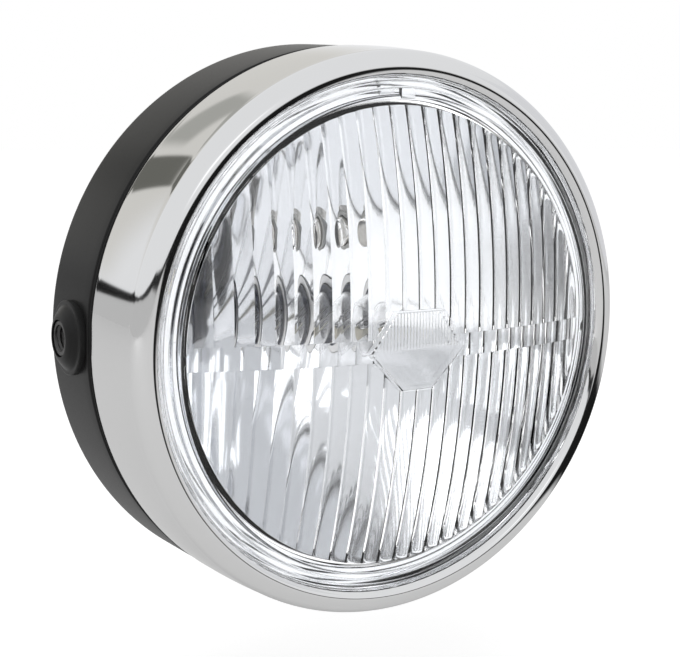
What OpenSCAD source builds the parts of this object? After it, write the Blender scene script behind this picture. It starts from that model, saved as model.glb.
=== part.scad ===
// Round side-mounted moped headlight: a black moulded shell, a bright pressed rim and a
// fluted glass over a reflector with a main bulb and a small parking bulb.
// The origin is where the optical axis meets the axis of the two side mounting threads.
// The lamp looks along -Y, +Z is up and +X is to the right as seen from the front.
// Depths called "back" are counted along +Y from the widest line of the rim's front roll.

/* [Rim] */
// Outside diameter of the rim at its front roll
rim_d = 170; // [150:1:200]
// How much further out the rim's rear edge stands than its roll
rim_flare = 1.4; // [0.5:0.1:3]
// Depth of the rim's barrel behind the widest line of its roll
rim_depth = 24; // [21:0.5:27]
// Sheet thickness of the rim
rim_sheet = 0.8; // [0.6:0.1:1]
// Outer radius of the front roll
roll_r = 5; // [4:0.5:5]
// Outer radius of the bend from the roll into the lip
lip_bend_r = 3; // [2:0.5:3]
// Width of the rim's front face, from its outside to the lip
face_w = 8; // [8:0.5:11]
// Length of the lip's straight wall behind its bend
lip_l = 0.6; // [0.4:0.1:3]
// Width of the flange turned in at the rim's rear edge
rear_flange_w = 3.2; // [2.8:0.1:3.6]

/* [Lens] */
// Width of the lens flange behind the rim's lip
lens_land = 3.2; // [2.5:0.1:3.8]
// Thickness of the lens flange
lens_flange_t = 4; // [3:0.5:5]
// Thickness of the glass over the dome
glass_t = 3.6; // [3.2:0.1:5]
// Number of steps in the glass between the lip and the dome
step_count = 3; // [2:1:3]
// Width of one step tread
step_w = 1.7; // [1.4:0.1:2]
// Height of one step riser
step_h = 1.1; // [0.6:0.1:1.4]
// How far the dome stands out in front of the last step
crown = 11; // [6:0.5:12]
// Distance from one upright flute to the next
flute_pitch = 5.6; // [4.5:0.1:8]
// Depth of a flute
flute_depth = 0.75; // [0.4:0.05:1]
// Width of the smooth ring between the fluted field and the steps
field_margin = 1.2; // [0.8:0.1:3]
// Height of the prism row's upper edge over the optical axis
prism_top = 2.2; // [1.5:0.1:5]
// Depth of the prism row's lower edge under the optical axis
prism_bottom = 4.5; // [3:0.1:7]
// How far the prism row's flutes are set over, as a share of the pitch
row_shift = 0.3; // [0.2:0.05:0.4]
// Width of the small locating tab at the top of the lens
tab_w = 4.8; // [3:0.2:7]
// Width of the six-sided plate in the middle of the lens
plate_w = 34; // [26:1:44]
// Width of the plate's upper and lower edges
plate_edge_w = 16.8; // [10:0.2:22]
// Height of the plate over the optical axis
plate_top = 10.2; // [8:0.2:14]
// Height of the plate's two side corners over the optical axis
plate_mid = -1.5; // [-4:0.5:3]
// Depth of the plate under the optical axis
plate_bottom = 13.2; // [9:0.2:15]
// How far the plate stands proud of the dome
plate_proud = 0.5; // [0.3:0.1:1]
// Distance between the fine ribs on the plate's upper half
rib_pitch = 1.1; // [0.9:0.05:1.6]

/* [Reflector] */
// Focal length of the reflector's paraboloid
focal = 26; // [24:0.5:28]
// Wall of the reflector
reflector_t = 1; // [0.8:0.1:1.4]
// Height of the reflector's collar round the lens
collar_h = 3.4; // [2:0.2:4]
// Thickness of the rubber seal between the lens and the reflector
seal_t = 1; // [0.8:0.1:1.5]
// Number of spring clips that hold the lens unit in the rim
clip_count = 6; // [4:1:8]
// Width of one spring clip
clip_w = 8; // [6:1:12]
// Thickness of the clip's strip
clip_t = 0.8; // [0.6:0.1:1]

/* [Main bulb] */
// Diameter of the bulb's glass
bulb_d = 17; // [16:0.5:18]
// Length of the bulb's glass in front of its metal cap
bulb_l = 35; // [30:1:38]
// Diameter of the bulb's metal cap
cap_d = 20; // [19:0.5:21]
// Length of the metal cap in front of its lugged flange
cap_l = 8; // [6:0.5:10]
// Diameter of the bulb's lugged flange
bulb_flange_d = 33; // [32:0.5:36]
// Distance from the bulb's flange to its filaments
light_centre = 29; // [27:0.5:30]
// Length of the blades behind the bulb's black base
blade_l = 9; // [7:0.5:11]

/* [Parking bulb] */
// Height of the parking bulb over the main bulb
park_z = 28; // [28:0.5:32]
// Diameter of the parking bulb's glass
park_glass_d = 8.8; // [8:0.2:9.4]
// Diameter of the hole for the parking bulb's holder
park_hole_d = 13; // [12:0.5:13]

/* [Shell] */
// How far the shell's side stands out past the rim's rear edge
shell_proud = 0.7; // [0:0.1:1]
// How much further out the shell's side stands at its rear bend than at its front edge
shell_flare = 0.8; // [0:0.1:1.2]
// Width of the dark groove between the rim and the shell
groove_w = 2.4; // [1.2:0.1:3]
// How far the gasket in the groove lies below the rim's outside
groove_in = 1.8; // [1:0.1:2.2]
// Wall of the moulded shell
shell_wall = 2.5; // [2:0.1:3.2]
// Length of the shell's straight side behind its front edge
side_l = 28.6; // [25.6:0.5:31.6]
// Radius of the bend from the side into the bowl
bend_r = 3.6; // [3.4:0.2:6]
// Overall depth from the roll's widest line to the shell's back
total_depth = 95; // [93:0.5:105]
// Radius of the flat at the back of the shell
back_flat_r = 24; // [20:1:28]
// Diameter of the cable hole in the back of the shell
cable_hole_d = 14; // [12:0.5:16]
// How far the cable hole lies under the optical axis
cable_drop = 12; // [10:0.5:14]

/* [Side mounts] */
// Diameter of the round pad on each side
pad_d = 22; // [20:0.5:26]
// How far the pad lies behind the shell's front edge
pad_margin = 0.6; // [0.2:0.1:3]
// How far the pad stands out from the shell's side
pad_proud = 1; // [0.6:0.1:2]
// How far the domed nub stands out from the pad
nub_proud = 2.4; // [1.5:0.1:3.5]
// Diameter of the nub's flat top round the thread
nub_top_d = 12.4; // [12:0.2:14]
// Core diameter of the side mounting thread
thread_core_d = 6.8; // [6.6:0.1:7]
// Nominal diameter of the side mounting thread
thread_d = 8; // [8:0.1:8.4]
// Width across the flats of the side nut's head
nut_af = 16; // [15:0.5:18]
// Thickness of the side nut's head
nut_t = 4; // [3:0.5:5]
// Thickness of the washer under the side nut's head
washer_t = 1.2; // [0.8:0.1:1.6]

/* [Fixings] */
// Nominal diameter of the rim's fixing screw
screw_d = 4; // [3.5:0.1:5]
// How far the rim's fixing screw lies ahead of the rim's rear edge
screw_ahead = 5.5; // [5:0.1:6]
// General clearance between round pieces that don't grip
gap = 0.3; // [0.2:0.05:0.4]

/* [Hidden] */

$fn = 96;
eps = 0.01;
arc_steps = 8;

rim_r = rim_d / 2;
rim_rear_r = rim_r + rim_flare;
lip_r = rim_r - face_w;
lip_back = lip_bend_r - roll_r + lip_l;
rear_flange_r = rim_rear_r - rear_flange_w;

lens_r = lip_r + lens_land;
step_inset = 0.8;
riser_slope = 0.4;
first_step_r = lip_r - step_inset;
dome_r = first_step_r - step_count * (step_w + riser_slope);
field_r = dome_r - field_margin;
dome_back = lip_back - step_count * step_h;
apex_back = dome_back - crown;
outer_ball_r = (dome_r * dome_r + crown * crown) / (2 * crown);
inner_ball_r = outer_ball_r - glass_t;
ball_back = apex_back + outer_ball_r;
lens_rear = lip_back + lens_flange_t;

seal_rear = lens_rear + seal_t;
bowl_play = 0.2;
bowl_r = dome_r + bowl_play;
vertex_back = seal_rear + bowl_r * bowl_r / (4 * focal);
seal_play = 0.6;
flange_r = lens_r + gap + reflector_t;
neck_r = 13;
seat_back = vertex_back - focal + light_centre;
park_back = vertex_back - park_z * park_z / (4 * focal);

spigot_r = rear_flange_r - gap;
spigot_l = 9.5;
spigot_front = rim_depth - spigot_l;
shoulder_back = rim_depth + groove_w;
side_end = shoulder_back + side_l;
shell_r = rim_rear_r + shell_proud;
shell_front_r = shell_r - shell_flare;
bend_back = side_end - bend_r;
tilt = 42;

side_back = shoulder_back + pad_margin + pad_d / 2;
pad_x = shell_r + pad_proud;
nub_x = pad_x + nub_proud;
boss_deep = 5;
boss_in_x = shell_r - shell_wall - boss_deep;
sleeve_wall = 1.2;
sleeve_r = thread_d / 2 + sleeve_wall;

seat_t = 1;
seat_margin = 1.3;
seat_r = bulb_flange_d / 2 + seat_margin;
rivet_angles = [30, 150, 270];
rivet_r = 1;
rivet_head_r = 1.6;
rivet_inset = 2.6;
rivet_x = seat_r - rivet_inset;

touch = 0.1;
lug_l = 3;
disc_r = bulb_flange_d / 2 - lug_l;
lug_angles = [90, 210, 330];
bulb_flange_t = 1;
cap_front = seat_back - cap_l;
cap_recess = 2.6;
pinch_r = 6.5;
pinch_deep = 5;
stem_rear = cap_front + pinch_deep - touch;
filament_back = seat_back - light_centre;
filament_z = 0.4;
coil_rise = 1.2;
coil_gap = 3;
base_r = 10.5;
base_l = 7;
base_rear = seat_back + bulb_flange_t + base_l;
blade_x = 5.5;
blade_t = 0.8;
blade_w = 7;
blade_low = -4;
blade_high = 4.6;
blade_play = 0.3;

park_ahead = 4;
park_front = park_back - park_ahead;
park_socket_r = 5;
park_holder_l = 20;
park_pin_r = 0.9;
park_pin_in = 12;
park_pin_front = park_front + park_pin_in;

head_lift = 0.25;
screw_back = rim_depth - screw_ahead;
screw_seat_z = -(rim_r + rim_flare * screw_back / rim_depth + head_lift);
hook_w = 10;
hook_t = 1;
hook_ahead = 5;
notch_deep = 4.6;
clip_play = 1.6;
nut_w = 8;
nut_l = 7.2;
nut_h = 3.2;
nut_plate_w = 12;
nut_plate_l = 8;
nut_plate_t = 0.8;
plate_taper = 2.6;

// Depth along the row's Y axis of a place that lies so far back from the roll's widest line
function y_of(back) = back - side_back;

// Points on an arc round (r, back); 0 degrees is outwards and 90 degrees is to the front
function arc(r, back, radius, from, to, steps = arc_steps) = [
    for (i = [0 : steps])
        let (a = from + (to - from) * i / steps)
        [r + radius * cos(a), y_of(back) - radius * sin(a)]
];

// A ring turned round the optical axis from points given as (radius, y)
module turned(points, fn = $fn) {
    rotate([-90, 0, 0])
        rotate_extrude($fn = fn)
            polygon(points);
}

// A plain ring between two depths
module ring(r_in, r_out, front, rear) {
    turned([
        [r_in, y_of(front)], [r_out, y_of(front)],
        [r_out, y_of(rear)], [r_in, y_of(rear)]
    ]);
}

// A round bar along the optical axis at height z between two depths
module bar(r, front, rear, x = 0, z = 0) {
    translate([x, y_of(front), z])
        rotate([-90, 0, 0])
            cylinder(r = r, h = rear - front);
}

// A round bar along X on the given side, between two distances from the centre plane
module side_bar(side, x0, x1, r0, r1) {
    rotate([0, side * 90, 0])
        translate([0, 0, x0])
            cylinder(r1 = r0, r2 = r1, h = x1 - x0);
}

// Shell

// Outline of the shell's bowl, offset inwards by a wall, from its side to its back
function bowl_points(wall) =
    let (
        corner = arc(shell_r - bend_r, bend_back, bend_r - wall, 0, -tilt),
        start = corner[len(corner) - 1],
        rear = y_of(total_depth - wall),
        turn_r = start[0] - (rear - start[1]) * tan(tilt),
        flat_r = back_flat_r - wall
    )
    concat(
        corner,
        [
            for (i = [1 : arc_steps])
                let (t = i / arc_steps)
                [
                    (1 - t) * (1 - t) * start[0] + 2 * t * (1 - t) * max(turn_r, flat_r) + t * t * flat_r,
                    (1 - t) * (1 - t) * start[1] + 2 * t * (1 - t) * rear + t * t * rear
                ]
        ],
        [[0, rear]]
    );

module shell_body() {
    bevel = 0.7;
    inner = bowl_points(shell_wall);
    turned(concat(
        [
            [spigot_r - shell_wall, y_of(spigot_front)],
            [spigot_r, y_of(spigot_front)],
            [spigot_r, y_of(shoulder_back)],
            [shell_front_r - bevel, y_of(shoulder_back)],
            [shell_front_r, y_of(shoulder_back + bevel)]
        ],
        bowl_points(0),
        [for (i = [len(inner) - 1 : -1 : 0]) inner[i]],
        [
            [shell_front_r - shell_wall, y_of(shoulder_back + shell_wall + bevel)],
            [spigot_r - shell_wall, y_of(shoulder_back + shell_wall)]
        ]
    ));
}

module side_boss(side) {
    bevel = 0.5;
    foot_w = 3.4;
    waist_w = 1.2;
    waist_x = pad_x + nub_proud * 0.6;
    top_r = nub_top_d / 2;
    side_bar(side, boss_in_x, pad_x - bevel, pad_d / 2, pad_d / 2);
    side_bar(side, pad_x - bevel, pad_x, pad_d / 2, pad_d / 2 - bevel);
    side_bar(side, pad_x - eps, waist_x, top_r + foot_w, top_r + waist_w);
    side_bar(side, waist_x - eps, nub_x, top_r + waist_w, top_r);
}

module shell() {
    spigot_in = spigot_r - shell_wall;
    hook_play = 2 * gap;
    color([0.16, 0.16, 0.16])
        difference() {
            union() {
                shell_body();
                for (side = [-1, 1])
                    side_boss(side);
            }
            for (side = [-1, 1])
                side_bar(side, boss_in_x - 1, nub_x + 1, sleeve_r + gap, sleeve_r + gap);
            bar(cable_hole_d / 2, total_depth - shell_wall - 1, total_depth + 1, 0, -cable_drop);
            translate([0, y_of(screw_back), -spigot_r - 1])
                cylinder(r = screw_d / 2 + gap, h = shell_wall + 2);
            translate([-(hook_w + hook_play) / 2, y_of(spigot_front - 1), spigot_in - 1])
                cube([hook_w + hook_play, notch_deep + 1, shell_wall + 2]);
            for (i = [0 : clip_count - 1])
                rotate([0, (i + 0.5) * 360 / clip_count, 0])
                    translate([-(clip_w + clip_play) / 2, y_of(spigot_front - 1), spigot_in - 1])
                        cube([clip_w + clip_play, notch_deep + 1, shell_wall + 2]);
        }
}

module rim_gasket() {
    color([0.06, 0.06, 0.06])
        ring(spigot_r, rim_rear_r - groove_in, rim_depth, shoulder_back);
}

// Rim and lens unit

module chrome_rim() {
    roll_c = rim_r - roll_r;
    lip_c = lip_r + lip_bend_r;
    lip_front = lip_back - lip_l;
    head_seat = 5;
    color([0.8, 0.81, 0.8])
        difference() {
            turned(concat(
                [[rim_rear_r, y_of(rim_depth)]],
                arc(roll_c, 0, roll_r, 0, 90),
                arc(lip_c, lip_front, lip_bend_r, 90, 180),
                [[lip_r, y_of(lip_back)], [lip_r + rim_sheet, y_of(lip_back)]],
                arc(lip_c, lip_front, lip_bend_r - rim_sheet, 180, 90),
                arc(roll_c, 0, roll_r - rim_sheet, 90, 0),
                [
                    [rim_rear_r - rim_sheet, y_of(rim_depth - rim_sheet)],
                    [rear_flange_r, y_of(rim_depth - rim_sheet)],
                    [rear_flange_r, y_of(rim_depth)]
                ]
            ), 180);
            translate([0, y_of(screw_back), -rim_rear_r - 1])
                cylinder(r = screw_d / 2 + gap, h = head_seat);
        }
}

// Radius of the flutes' surface at a distance x from the middle of the lens
function flute_radius(x, shift) =
    let (
        place = (x - shift) / flute_pitch,
        part = 2 * (place - floor(place)) - 1
    )
    sqrt(inner_ball_r * inner_ball_r - x * x) + flute_depth * part * part;

// The space behind the flutes between two heights; its front is turned round an upright-flute axis
module flute_space(z0, z1, shift) {
    points_per_flute = 4;
    count = ceil(field_r / flute_pitch) + 1;
    step = flute_pitch / points_per_flute;
    first = -count * points_per_flute;
    last = count * points_per_flute;
    deeper = 12;
    near_r = inner_ball_r - crown - glass_t - lens_flange_t - deeper;
    intersection() {
        translate([0, y_of(ball_back), 0])
            rotate([0, 90, 0])
                rotate_extrude($fn = 1080)
                    polygon(concat(
                        [[near_r, last * step + shift], [near_r, first * step + shift]],
                        [
                            for (i = [first : last])
                                [flute_radius(i * step + shift, shift), i * step + shift]
                        ]
                    ));
        bar(field_r, apex_back - 1, lens_rear + 1);
        translate([-field_r - 1, y_of(apex_back) - 2, z0])
            cube([2 * field_r + 2, lens_rear - apex_back + deeper, z1 - z0]);
    }
}

// A bar along the optical axis with the plate's six-sided outline
module plate_bar(front, rear) {
    top_x = plate_edge_w / 2;
    foot_x = top_x - plate_taper;
    translate([0, y_of(rear), 0])
        rotate([90, 0, 0])
            linear_extrude(rear - front)
                polygon([
                    [-plate_w / 2, plate_mid], [-top_x, plate_top], [top_x, plate_top],
                    [plate_w / 2, plate_mid], [foot_x, -plate_bottom], [-foot_x, -plate_bottom]
                ]);
}

module ball(r) {
    translate([0, y_of(ball_back), 0])
        rotate([-90, 0, 0])
            sphere(r = r, $fn = 720);
}

module lens_plate() {
    rib_count = floor((plate_w / 2 - plate_taper) / rib_pitch);
    rib_from = 0.8;
    rib_sink = 1;
    reach = 2;
    difference() {
        intersection() {
            plate_bar(apex_back - reach, apex_back + glass_t + reach);
            ball(outer_ball_r + plate_proud);
        }
        ball(inner_ball_r - bowl_play);
        for (i = [-rib_count : rib_count])
            translate([(i - 0.25) * rib_pitch, y_of(apex_back) - reach, plate_mid + rib_from])
                cube([rib_pitch / 2, reach + rib_sink, plate_top - plate_mid]);
    }
}

module lens() {
    cone = 1.5;
    tab_out = 0.5;
    tab_t = 2;
    tab_h = 3;
    tab_z = dome_r + 0.9;
    lens_body = concat(
        [[0, y_of(lens_rear)], [lens_r, y_of(lens_rear)], [lens_r, y_of(lip_back)]],
        [
            for (k = [0 : step_count - 1], j = [0, 1])
                let (r = first_step_r - k * (step_w + riser_slope))
                [r - j * riser_slope, y_of(lip_back - (k + j) * step_h)]
        ],
        [[dome_r, y_of(dome_back)]],
        [[0, y_of(dome_back)]]
    );
    color([0.86, 0.89, 0.9, 0.6])
        difference() {
            union() {
                difference() {
                    union() {
                        turned(lens_body, 180);
                        intersection() {
                            ball(outer_ball_r);
                            bar(dome_r, apex_back - 1, lens_rear);
                        }
                    }
                    turned([
                        [0, y_of(lens_rear + 1)], [field_r + cone, y_of(lens_rear + 1)],
                        [field_r + cone, y_of(lens_rear)], [field_r, y_of(dome_back + glass_t)],
                        [0, y_of(dome_back + glass_t)]
                    ], 180);
                    flute_space(prism_top, field_r + 1, 0);
                    flute_space(-prism_bottom, prism_top, row_shift * flute_pitch);
                    flute_space(-field_r - 1, -prism_bottom, 0);
                }
                lens_plate();
                translate([-tab_w / 2, y_of(dome_back) - tab_out, tab_z])
                    cube([tab_w, tab_t, tab_h]);
            }
        }
}

module lens_seal() {
    color([0.1, 0.1, 0.1])
        ring(lip_r + seal_play, lens_r, lens_rear, seal_rear);
}

// Depth of the reflector's front surface at a radius
function bowl_back(r) = vertex_back - r * r / (4 * focal);

module reflector() {
    bowl_steps = 20;
    flat_from = 0.9;
    half_cut = 8;
    radii = [for (i = [0 : bowl_steps]) neck_r + (bowl_r - neck_r) * i / bowl_steps];
    color([0.9, 0.91, 0.92])
        difference() {
            turned(concat(
                [for (r = radii) [r, y_of(bowl_back(r))]],
                [
                    [flange_r - reflector_t, y_of(seal_rear)],
                    [flange_r - reflector_t, y_of(seal_rear - collar_h)],
                    [flange_r, y_of(seal_rear - collar_h)],
                    [flange_r, y_of(seal_rear + reflector_t)],
                    [bowl_r + flat_from, y_of(seal_rear + reflector_t)]
                ],
                [
                    for (i = [bowl_steps : -1 : 0])
                        let (r = radii[i], slope = r / (2 * focal))
                        [r, y_of(bowl_back(r) + reflector_t * sqrt(1 + slope * slope))]
                ],
                [[neck_r, y_of(bowl_back(neck_r) + reflector_t)]]
            ), 180);
            bar(park_hole_d / 2, park_back - half_cut, park_back + half_cut, 0, park_z);
        }
}

// One clip: a foot on the reflector's flange, a sprung leg and a hook under the rim's rear flange
module rim_clip() {
    foot_l = 7;
    foot_out = 1.5;
    hook_l = 1.6;
    lean = 0.2;
    foot_z = flange_r - foot_l;
    foot_back = seal_rear + reflector_t;
    hook_back = rim_depth - rim_sheet;
    leg_in = flange_r - foot_out;
    leg_out = rim_rear_r - rim_sheet - gap - clip_t;
    translate([-clip_w / 2, 0, 0])
        rotate([90, 0, 90])
            linear_extrude(clip_w)
                polygon([
                    [y_of(foot_back), foot_z], [y_of(foot_back), leg_in + clip_t],
                    [y_of(hook_back - clip_t), leg_out + clip_t - lean], [y_of(hook_back), leg_out + clip_t - lean],
                    [y_of(hook_back), leg_out - hook_l], [y_of(hook_back - clip_t), leg_out - hook_l],
                    [y_of(hook_back - clip_t), leg_out - 2 * lean], [y_of(foot_back + clip_t), leg_in - lean],
                    [y_of(foot_back + clip_t), foot_z]
                ]);
}

module rim_clips() {
    color([0.55, 0.56, 0.58])
        for (i = [0 : clip_count - 1])
            rotate([0, (i + 0.5) * 360 / clip_count, 0])
                rim_clip();
}

// Main bulb and its fixing

module bulb_seat() {
    tube_out = 0.6;
    tube_front = bowl_back(neck_r) - tube_out;
    tube_r = neck_r - gap;
    in_r = cap_d / 2 + gap;
    hole_r = rivet_r + gap;
    color([0.62, 0.63, 0.64])
        difference() {
            turned([
                [in_r, y_of(tube_front)], [tube_r, y_of(tube_front)],
                [tube_r, y_of(seat_back - seat_t)], [seat_r, y_of(seat_back - seat_t)],
                [seat_r, y_of(seat_back)], [in_r, y_of(seat_back)]
            ]);
            for (a = rivet_angles)
                rotate([0, a, 0])
                    bar(hole_r, seat_back - 2 * seat_t, seat_back + seat_t, rivet_x);
        }
}

module seat_rivets() {
    head_h = 0.8;
    clear = 0.1;
    front = bowl_back(rivet_x - rivet_r) + reflector_t * 1.05 + clear;
    color([0.7, 0.7, 0.7])
        for (a = rivet_angles)
            rotate([0, a, 0]) {
                bar(rivet_r, front, seat_back + eps, rivet_x);
                bar(rivet_head_r, seat_back, seat_back + head_h, rivet_x);
            }
}

// A wire spring that presses the bulb's flange on its seat
module bulb_clip() {
    wire_r = 0.6;
    loop_r = disc_r + wire_r / 2;
    open_angle = 40;
    level = seat_back + bulb_flange_t + wire_r;
    color([0.6, 0.61, 0.62])
        translate([0, y_of(level), 0])
            rotate([-90, 0, 0])
                rotate([0, 0, open_angle / 2])
                    rotate_extrude(angle = 360 - open_angle)
                        translate([loop_r, 0])
                            circle(r = wire_r, $fn = 24);
}

module bulb_glass() {
    wall = 1;
    nose_r = 6;
    r = bulb_d / 2;
    front = cap_front - bulb_l;
    rear = cap_front + cap_recess - touch;
    outside = arc(r - nose_r, front + nose_r, nose_r, 0, 90);
    color([0.9, 0.92, 0.95, 0.5])
        turned(concat(
            [[0, y_of(front)]],
            [for (i = [arc_steps - 1 : -1 : 0]) outside[i]],
            [[r, y_of(rear)], [r - wall, y_of(rear)]],
            arc(r - nose_r, front + nose_r, nose_r - wall, 0, 90),
            [[0, y_of(front + wall)]]
        ));
}

// A short spoon-shaped cup under the front filament, on its own stem
module bulb_shield() {
    cup_r = 3.6;
    cup_l = 9;
    cup_t = 0.4;
    stem_w = 1;
    stem_t = 0.5;
    cup_rear = filament_back + 2;
    color([0.75, 0.75, 0.73])
        union() {
            translate([0, y_of(cup_rear - cup_l), 0])
                rotate([-90, 0, 0])
                    difference() {
                        cylinder(r = cup_r, h = cup_l);
                        translate([0, 0, stem_t])
                            cylinder(r = cup_r - cup_t, h = cup_l);
                        translate([-cup_r - 1, -cup_r - 1, -1])
                            cube([2 * cup_r + 2, cup_r + 1, cup_l + 2]);
                    }
            translate([-stem_w / 2, y_of(cup_rear - cup_t), -cup_r])
                cube([stem_w, stem_rear - cup_rear + cup_t, stem_t]);
        }
}

// Two coils side by side along the axis, each on its two support wires
module bulb_filaments() {
    coil_r = 0.7;
    coil_l = 5;
    wire = 0.5;
    reach = 4;
    low = filament_z;
    high = filament_z + coil_rise;
    rear_coil = filament_back + coil_gap;
    color([0.5, 0.5, 0.52])
        union() {
            bar(coil_r, filament_back - coil_l, filament_back, 0, low);
            bar(coil_r, rear_coil, rear_coil + coil_l, 0, high);
            translate([-reach, y_of(filament_back - coil_l), low - wire / 2])
                cube([reach, wire, wire]);
            translate([0, y_of(filament_back - wire), low - wire / 2])
                cube([reach, wire, wire]);
            for (x = [-reach, reach])
                translate([x - wire / 2, y_of(filament_back - coil_l), low - wire / 2])
                    cube([wire, stem_rear - filament_back + coil_l, wire]);
            translate([-reach, y_of(rear_coil), high - wire / 2])
                cube([reach, wire, wire]);
            translate([-reach - wire / 2, y_of(rear_coil), low])
                cube([wire, wire, high - low + wire / 2]);
            translate([-wire / 2, y_of(rear_coil + coil_l - wire), high - wire / 2])
                cube([wire, stem_rear - rear_coil - coil_l + wire, wire]);
        }
}

module bulb_cap() {
    pocket_r = bulb_d / 2 + gap;
    lug_in = disc_r - 3;
    lug_out = bulb_flange_d / 2 - 0.8;
    lug_w = 7;
    color([0.72, 0.71, 0.68])
        difference() {
            union() {
                turned([
                    [0, y_of(cap_front + cap_recess)], [pocket_r, y_of(cap_front + cap_recess)],
                    [pocket_r, y_of(cap_front)], [cap_d / 2, y_of(cap_front)],
                    [cap_d / 2, y_of(seat_back)], [disc_r, y_of(seat_back)],
                    [disc_r, y_of(seat_back + bulb_flange_t)], [0, y_of(seat_back + bulb_flange_t)]
                ]);
                for (a = lug_angles)
                    rotate([0, a, 0])
                        translate([lug_in, y_of(seat_back), -lug_w / 2])
                            cube([lug_out - lug_in, bulb_flange_t, lug_w]);
            }
            bar(pinch_r, cap_front - 1, cap_front + pinch_deep);
        }
}

module bulb_base() {
    bevel = 1;
    front = seat_back + bulb_flange_t;
    color([0.12, 0.12, 0.12])
        turned([
            [0, y_of(front)], [base_r, y_of(front)], [base_r, y_of(base_rear - bevel)],
            [base_r - bevel, y_of(base_rear)], [0, y_of(base_rear)]
        ]);
}

// Room for, or the shape of, the three flat blades behind the base
module blades(front, rear, grow = 0) {
    for (x = [-blade_x, blade_x])
        translate([x - blade_t / 2 - grow, y_of(front), blade_low - grow])
            cube([blade_t + 2 * grow, rear - front, blade_w + 2 * grow]);
    translate([-blade_w / 2 - grow, y_of(front), blade_high - grow])
        cube([blade_w + 2 * grow, rear - front, blade_t + 2 * grow]);
}

module bulb_contacts() {
    color([0.8, 0.72, 0.45])
        union()
            blades(base_rear, base_rear + blade_l);
}

// A rubber cap from the seat's rim to the bulb's base, open in the middle
module rubber_boot() {
    t = 1.4;
    in_r = seat_r + gap;
    collar_r = base_r + gap;
    collar_back = base_rear + 0.6;
    color([0.05, 0.05, 0.05])
        turned([
            [in_r, y_of(seat_back - seat_t)], [in_r + t, y_of(seat_back - seat_t)],
            [in_r + t, y_of(seat_back + 2 * t)], [collar_r + 2 * t, y_of(collar_back - t)],
            [collar_r + t, y_of(collar_back)], [collar_r, y_of(collar_back)],
            [collar_r, y_of(collar_back - 2.5 * t)], [collar_r + t, y_of(collar_back - 2.5 * t)],
            [in_r, y_of(seat_back + t)]
        ]);
}

// A three-way socket block pushed over the blades
module connector() {
    w = 17;
    h = 15;
    low = -6;
    long = 12;
    wire_r = 1.5;
    wire_deep = 3.5;
    front = base_rear + 1;
    rear = front + long;
    color([0.85, 0.84, 0.78])
        difference() {
            translate([-w / 2, y_of(front), low])
                cube([w, long, h]);
            blades(front - 1, front + blade_l, blade_play);
            for (x = [-blade_x, 0, blade_x])
                bar(wire_r, rear - wire_deep, rear + 1, x, (x == 0) ? blade_high : blade_low + blade_w / 2);
        }
}

// Parking bulb

// A rubber plug in the reflector's hole, with a groove for the reflector's wall and a socket
module parking_holder() {
    plug_r = park_hole_d / 2 - gap;
    bead_r = park_hole_d / 2 + 1.4;
    neck = 5.4;
    socket_deep = 6;
    bead_front = 9.5;
    bead_rear = 12;
    color([0.08, 0.08, 0.08])
        difference() {
            translate([0, y_of(park_front), park_z])
                rotate([-90, 0, 0])
                    rotate_extrude()
                        polygon([
                            [0, socket_deep], [park_socket_r, socket_deep], [park_socket_r, 1], [plug_r, 1],
                            [plug_r, bead_front], [bead_r, bead_front], [bead_r, bead_rear],
                            [neck, bead_rear + 4], [neck, park_holder_l], [0, park_holder_l]
                        ]);
            bar(park_pin_r + gap, park_pin_front, park_front + park_holder_l + 1, 0, park_z);
        }
}

module parking_bulb_cap() {
    cap_r = park_socket_r - gap - 0.1;
    cap_wall = 0.7;
    color([0.75, 0.72, 0.62])
        difference() {
            bar(cap_r, park_front - 2, park_front + 6, 0, park_z);
            bar(cap_r - cap_wall, park_front - 3, park_front + 1, 0, park_z);
        }
}

module parking_bulb_glass() {
    r = park_glass_d / 2;
    stem_r = 3.6;
    stem_l = 2.6;
    tube_l = 6;
    color([0.9, 0.92, 0.95, 0.5])
        translate([0, y_of(park_front - 2), park_z])
            rotate([90, 0, 0])
                union() {
                    cylinder(r = r, h = tube_l);
                    translate([0, 0, tube_l])
                        difference() {
                            sphere(r = r);
                            translate([0, 0, -r - 1])
                                cylinder(r = r + 1, h = r + 1);
                        }
                    translate([0, 0, -stem_l])
                        cylinder(r = stem_r, h = stem_l + eps);
                }
}

module parking_contact() {
    tail = 4;
    color([0.8, 0.72, 0.45])
        bar(park_pin_r, park_pin_front, park_front + park_holder_l + tail, 0, park_z);
}

// Side mounts

// A long nut set from inside the shell: a hexagonal head and a sleeve out to the nub's face
module side_nut(side) {
    head_x = boss_in_x - washer_t;
    end_x = nub_x - 0.4;
    chamfer = 0.6;
    core_r = thread_core_d / 2;
    color([0.2, 0.2, 0.2])
        difference() {
            union() {
                rotate([0, side * 90, 0])
                    translate([0, 0, head_x - nut_t])
                        cylinder(r = nut_af / 2 / cos(30), h = nut_t, $fn = 6);
                side_bar(side, head_x - 1, end_x, sleeve_r, sleeve_r);
            }
            side_bar(side, head_x - nut_t - 1, nub_x, core_r, core_r);
            side_bar(side, end_x - chamfer, end_x + eps, core_r, core_r + chamfer);
        }
}

module side_washer(side) {
    washer_r = 9;
    color([0.5, 0.5, 0.5])
        difference() {
            side_bar(side, boss_in_x - washer_t, boss_in_x, washer_r, washer_r);
            side_bar(side, boss_in_x - washer_t - 1, boss_in_x + 1, sleeve_r + gap, sleeve_r + gap);
        }
}

module side_nut_left() {
    side_nut(-1);
}

module side_nut_right() {
    side_nut(1);
}

module side_washer_left() {
    side_washer(-1);
}

module side_washer_right() {
    side_washer(1);
}

// Rim fixings

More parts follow.
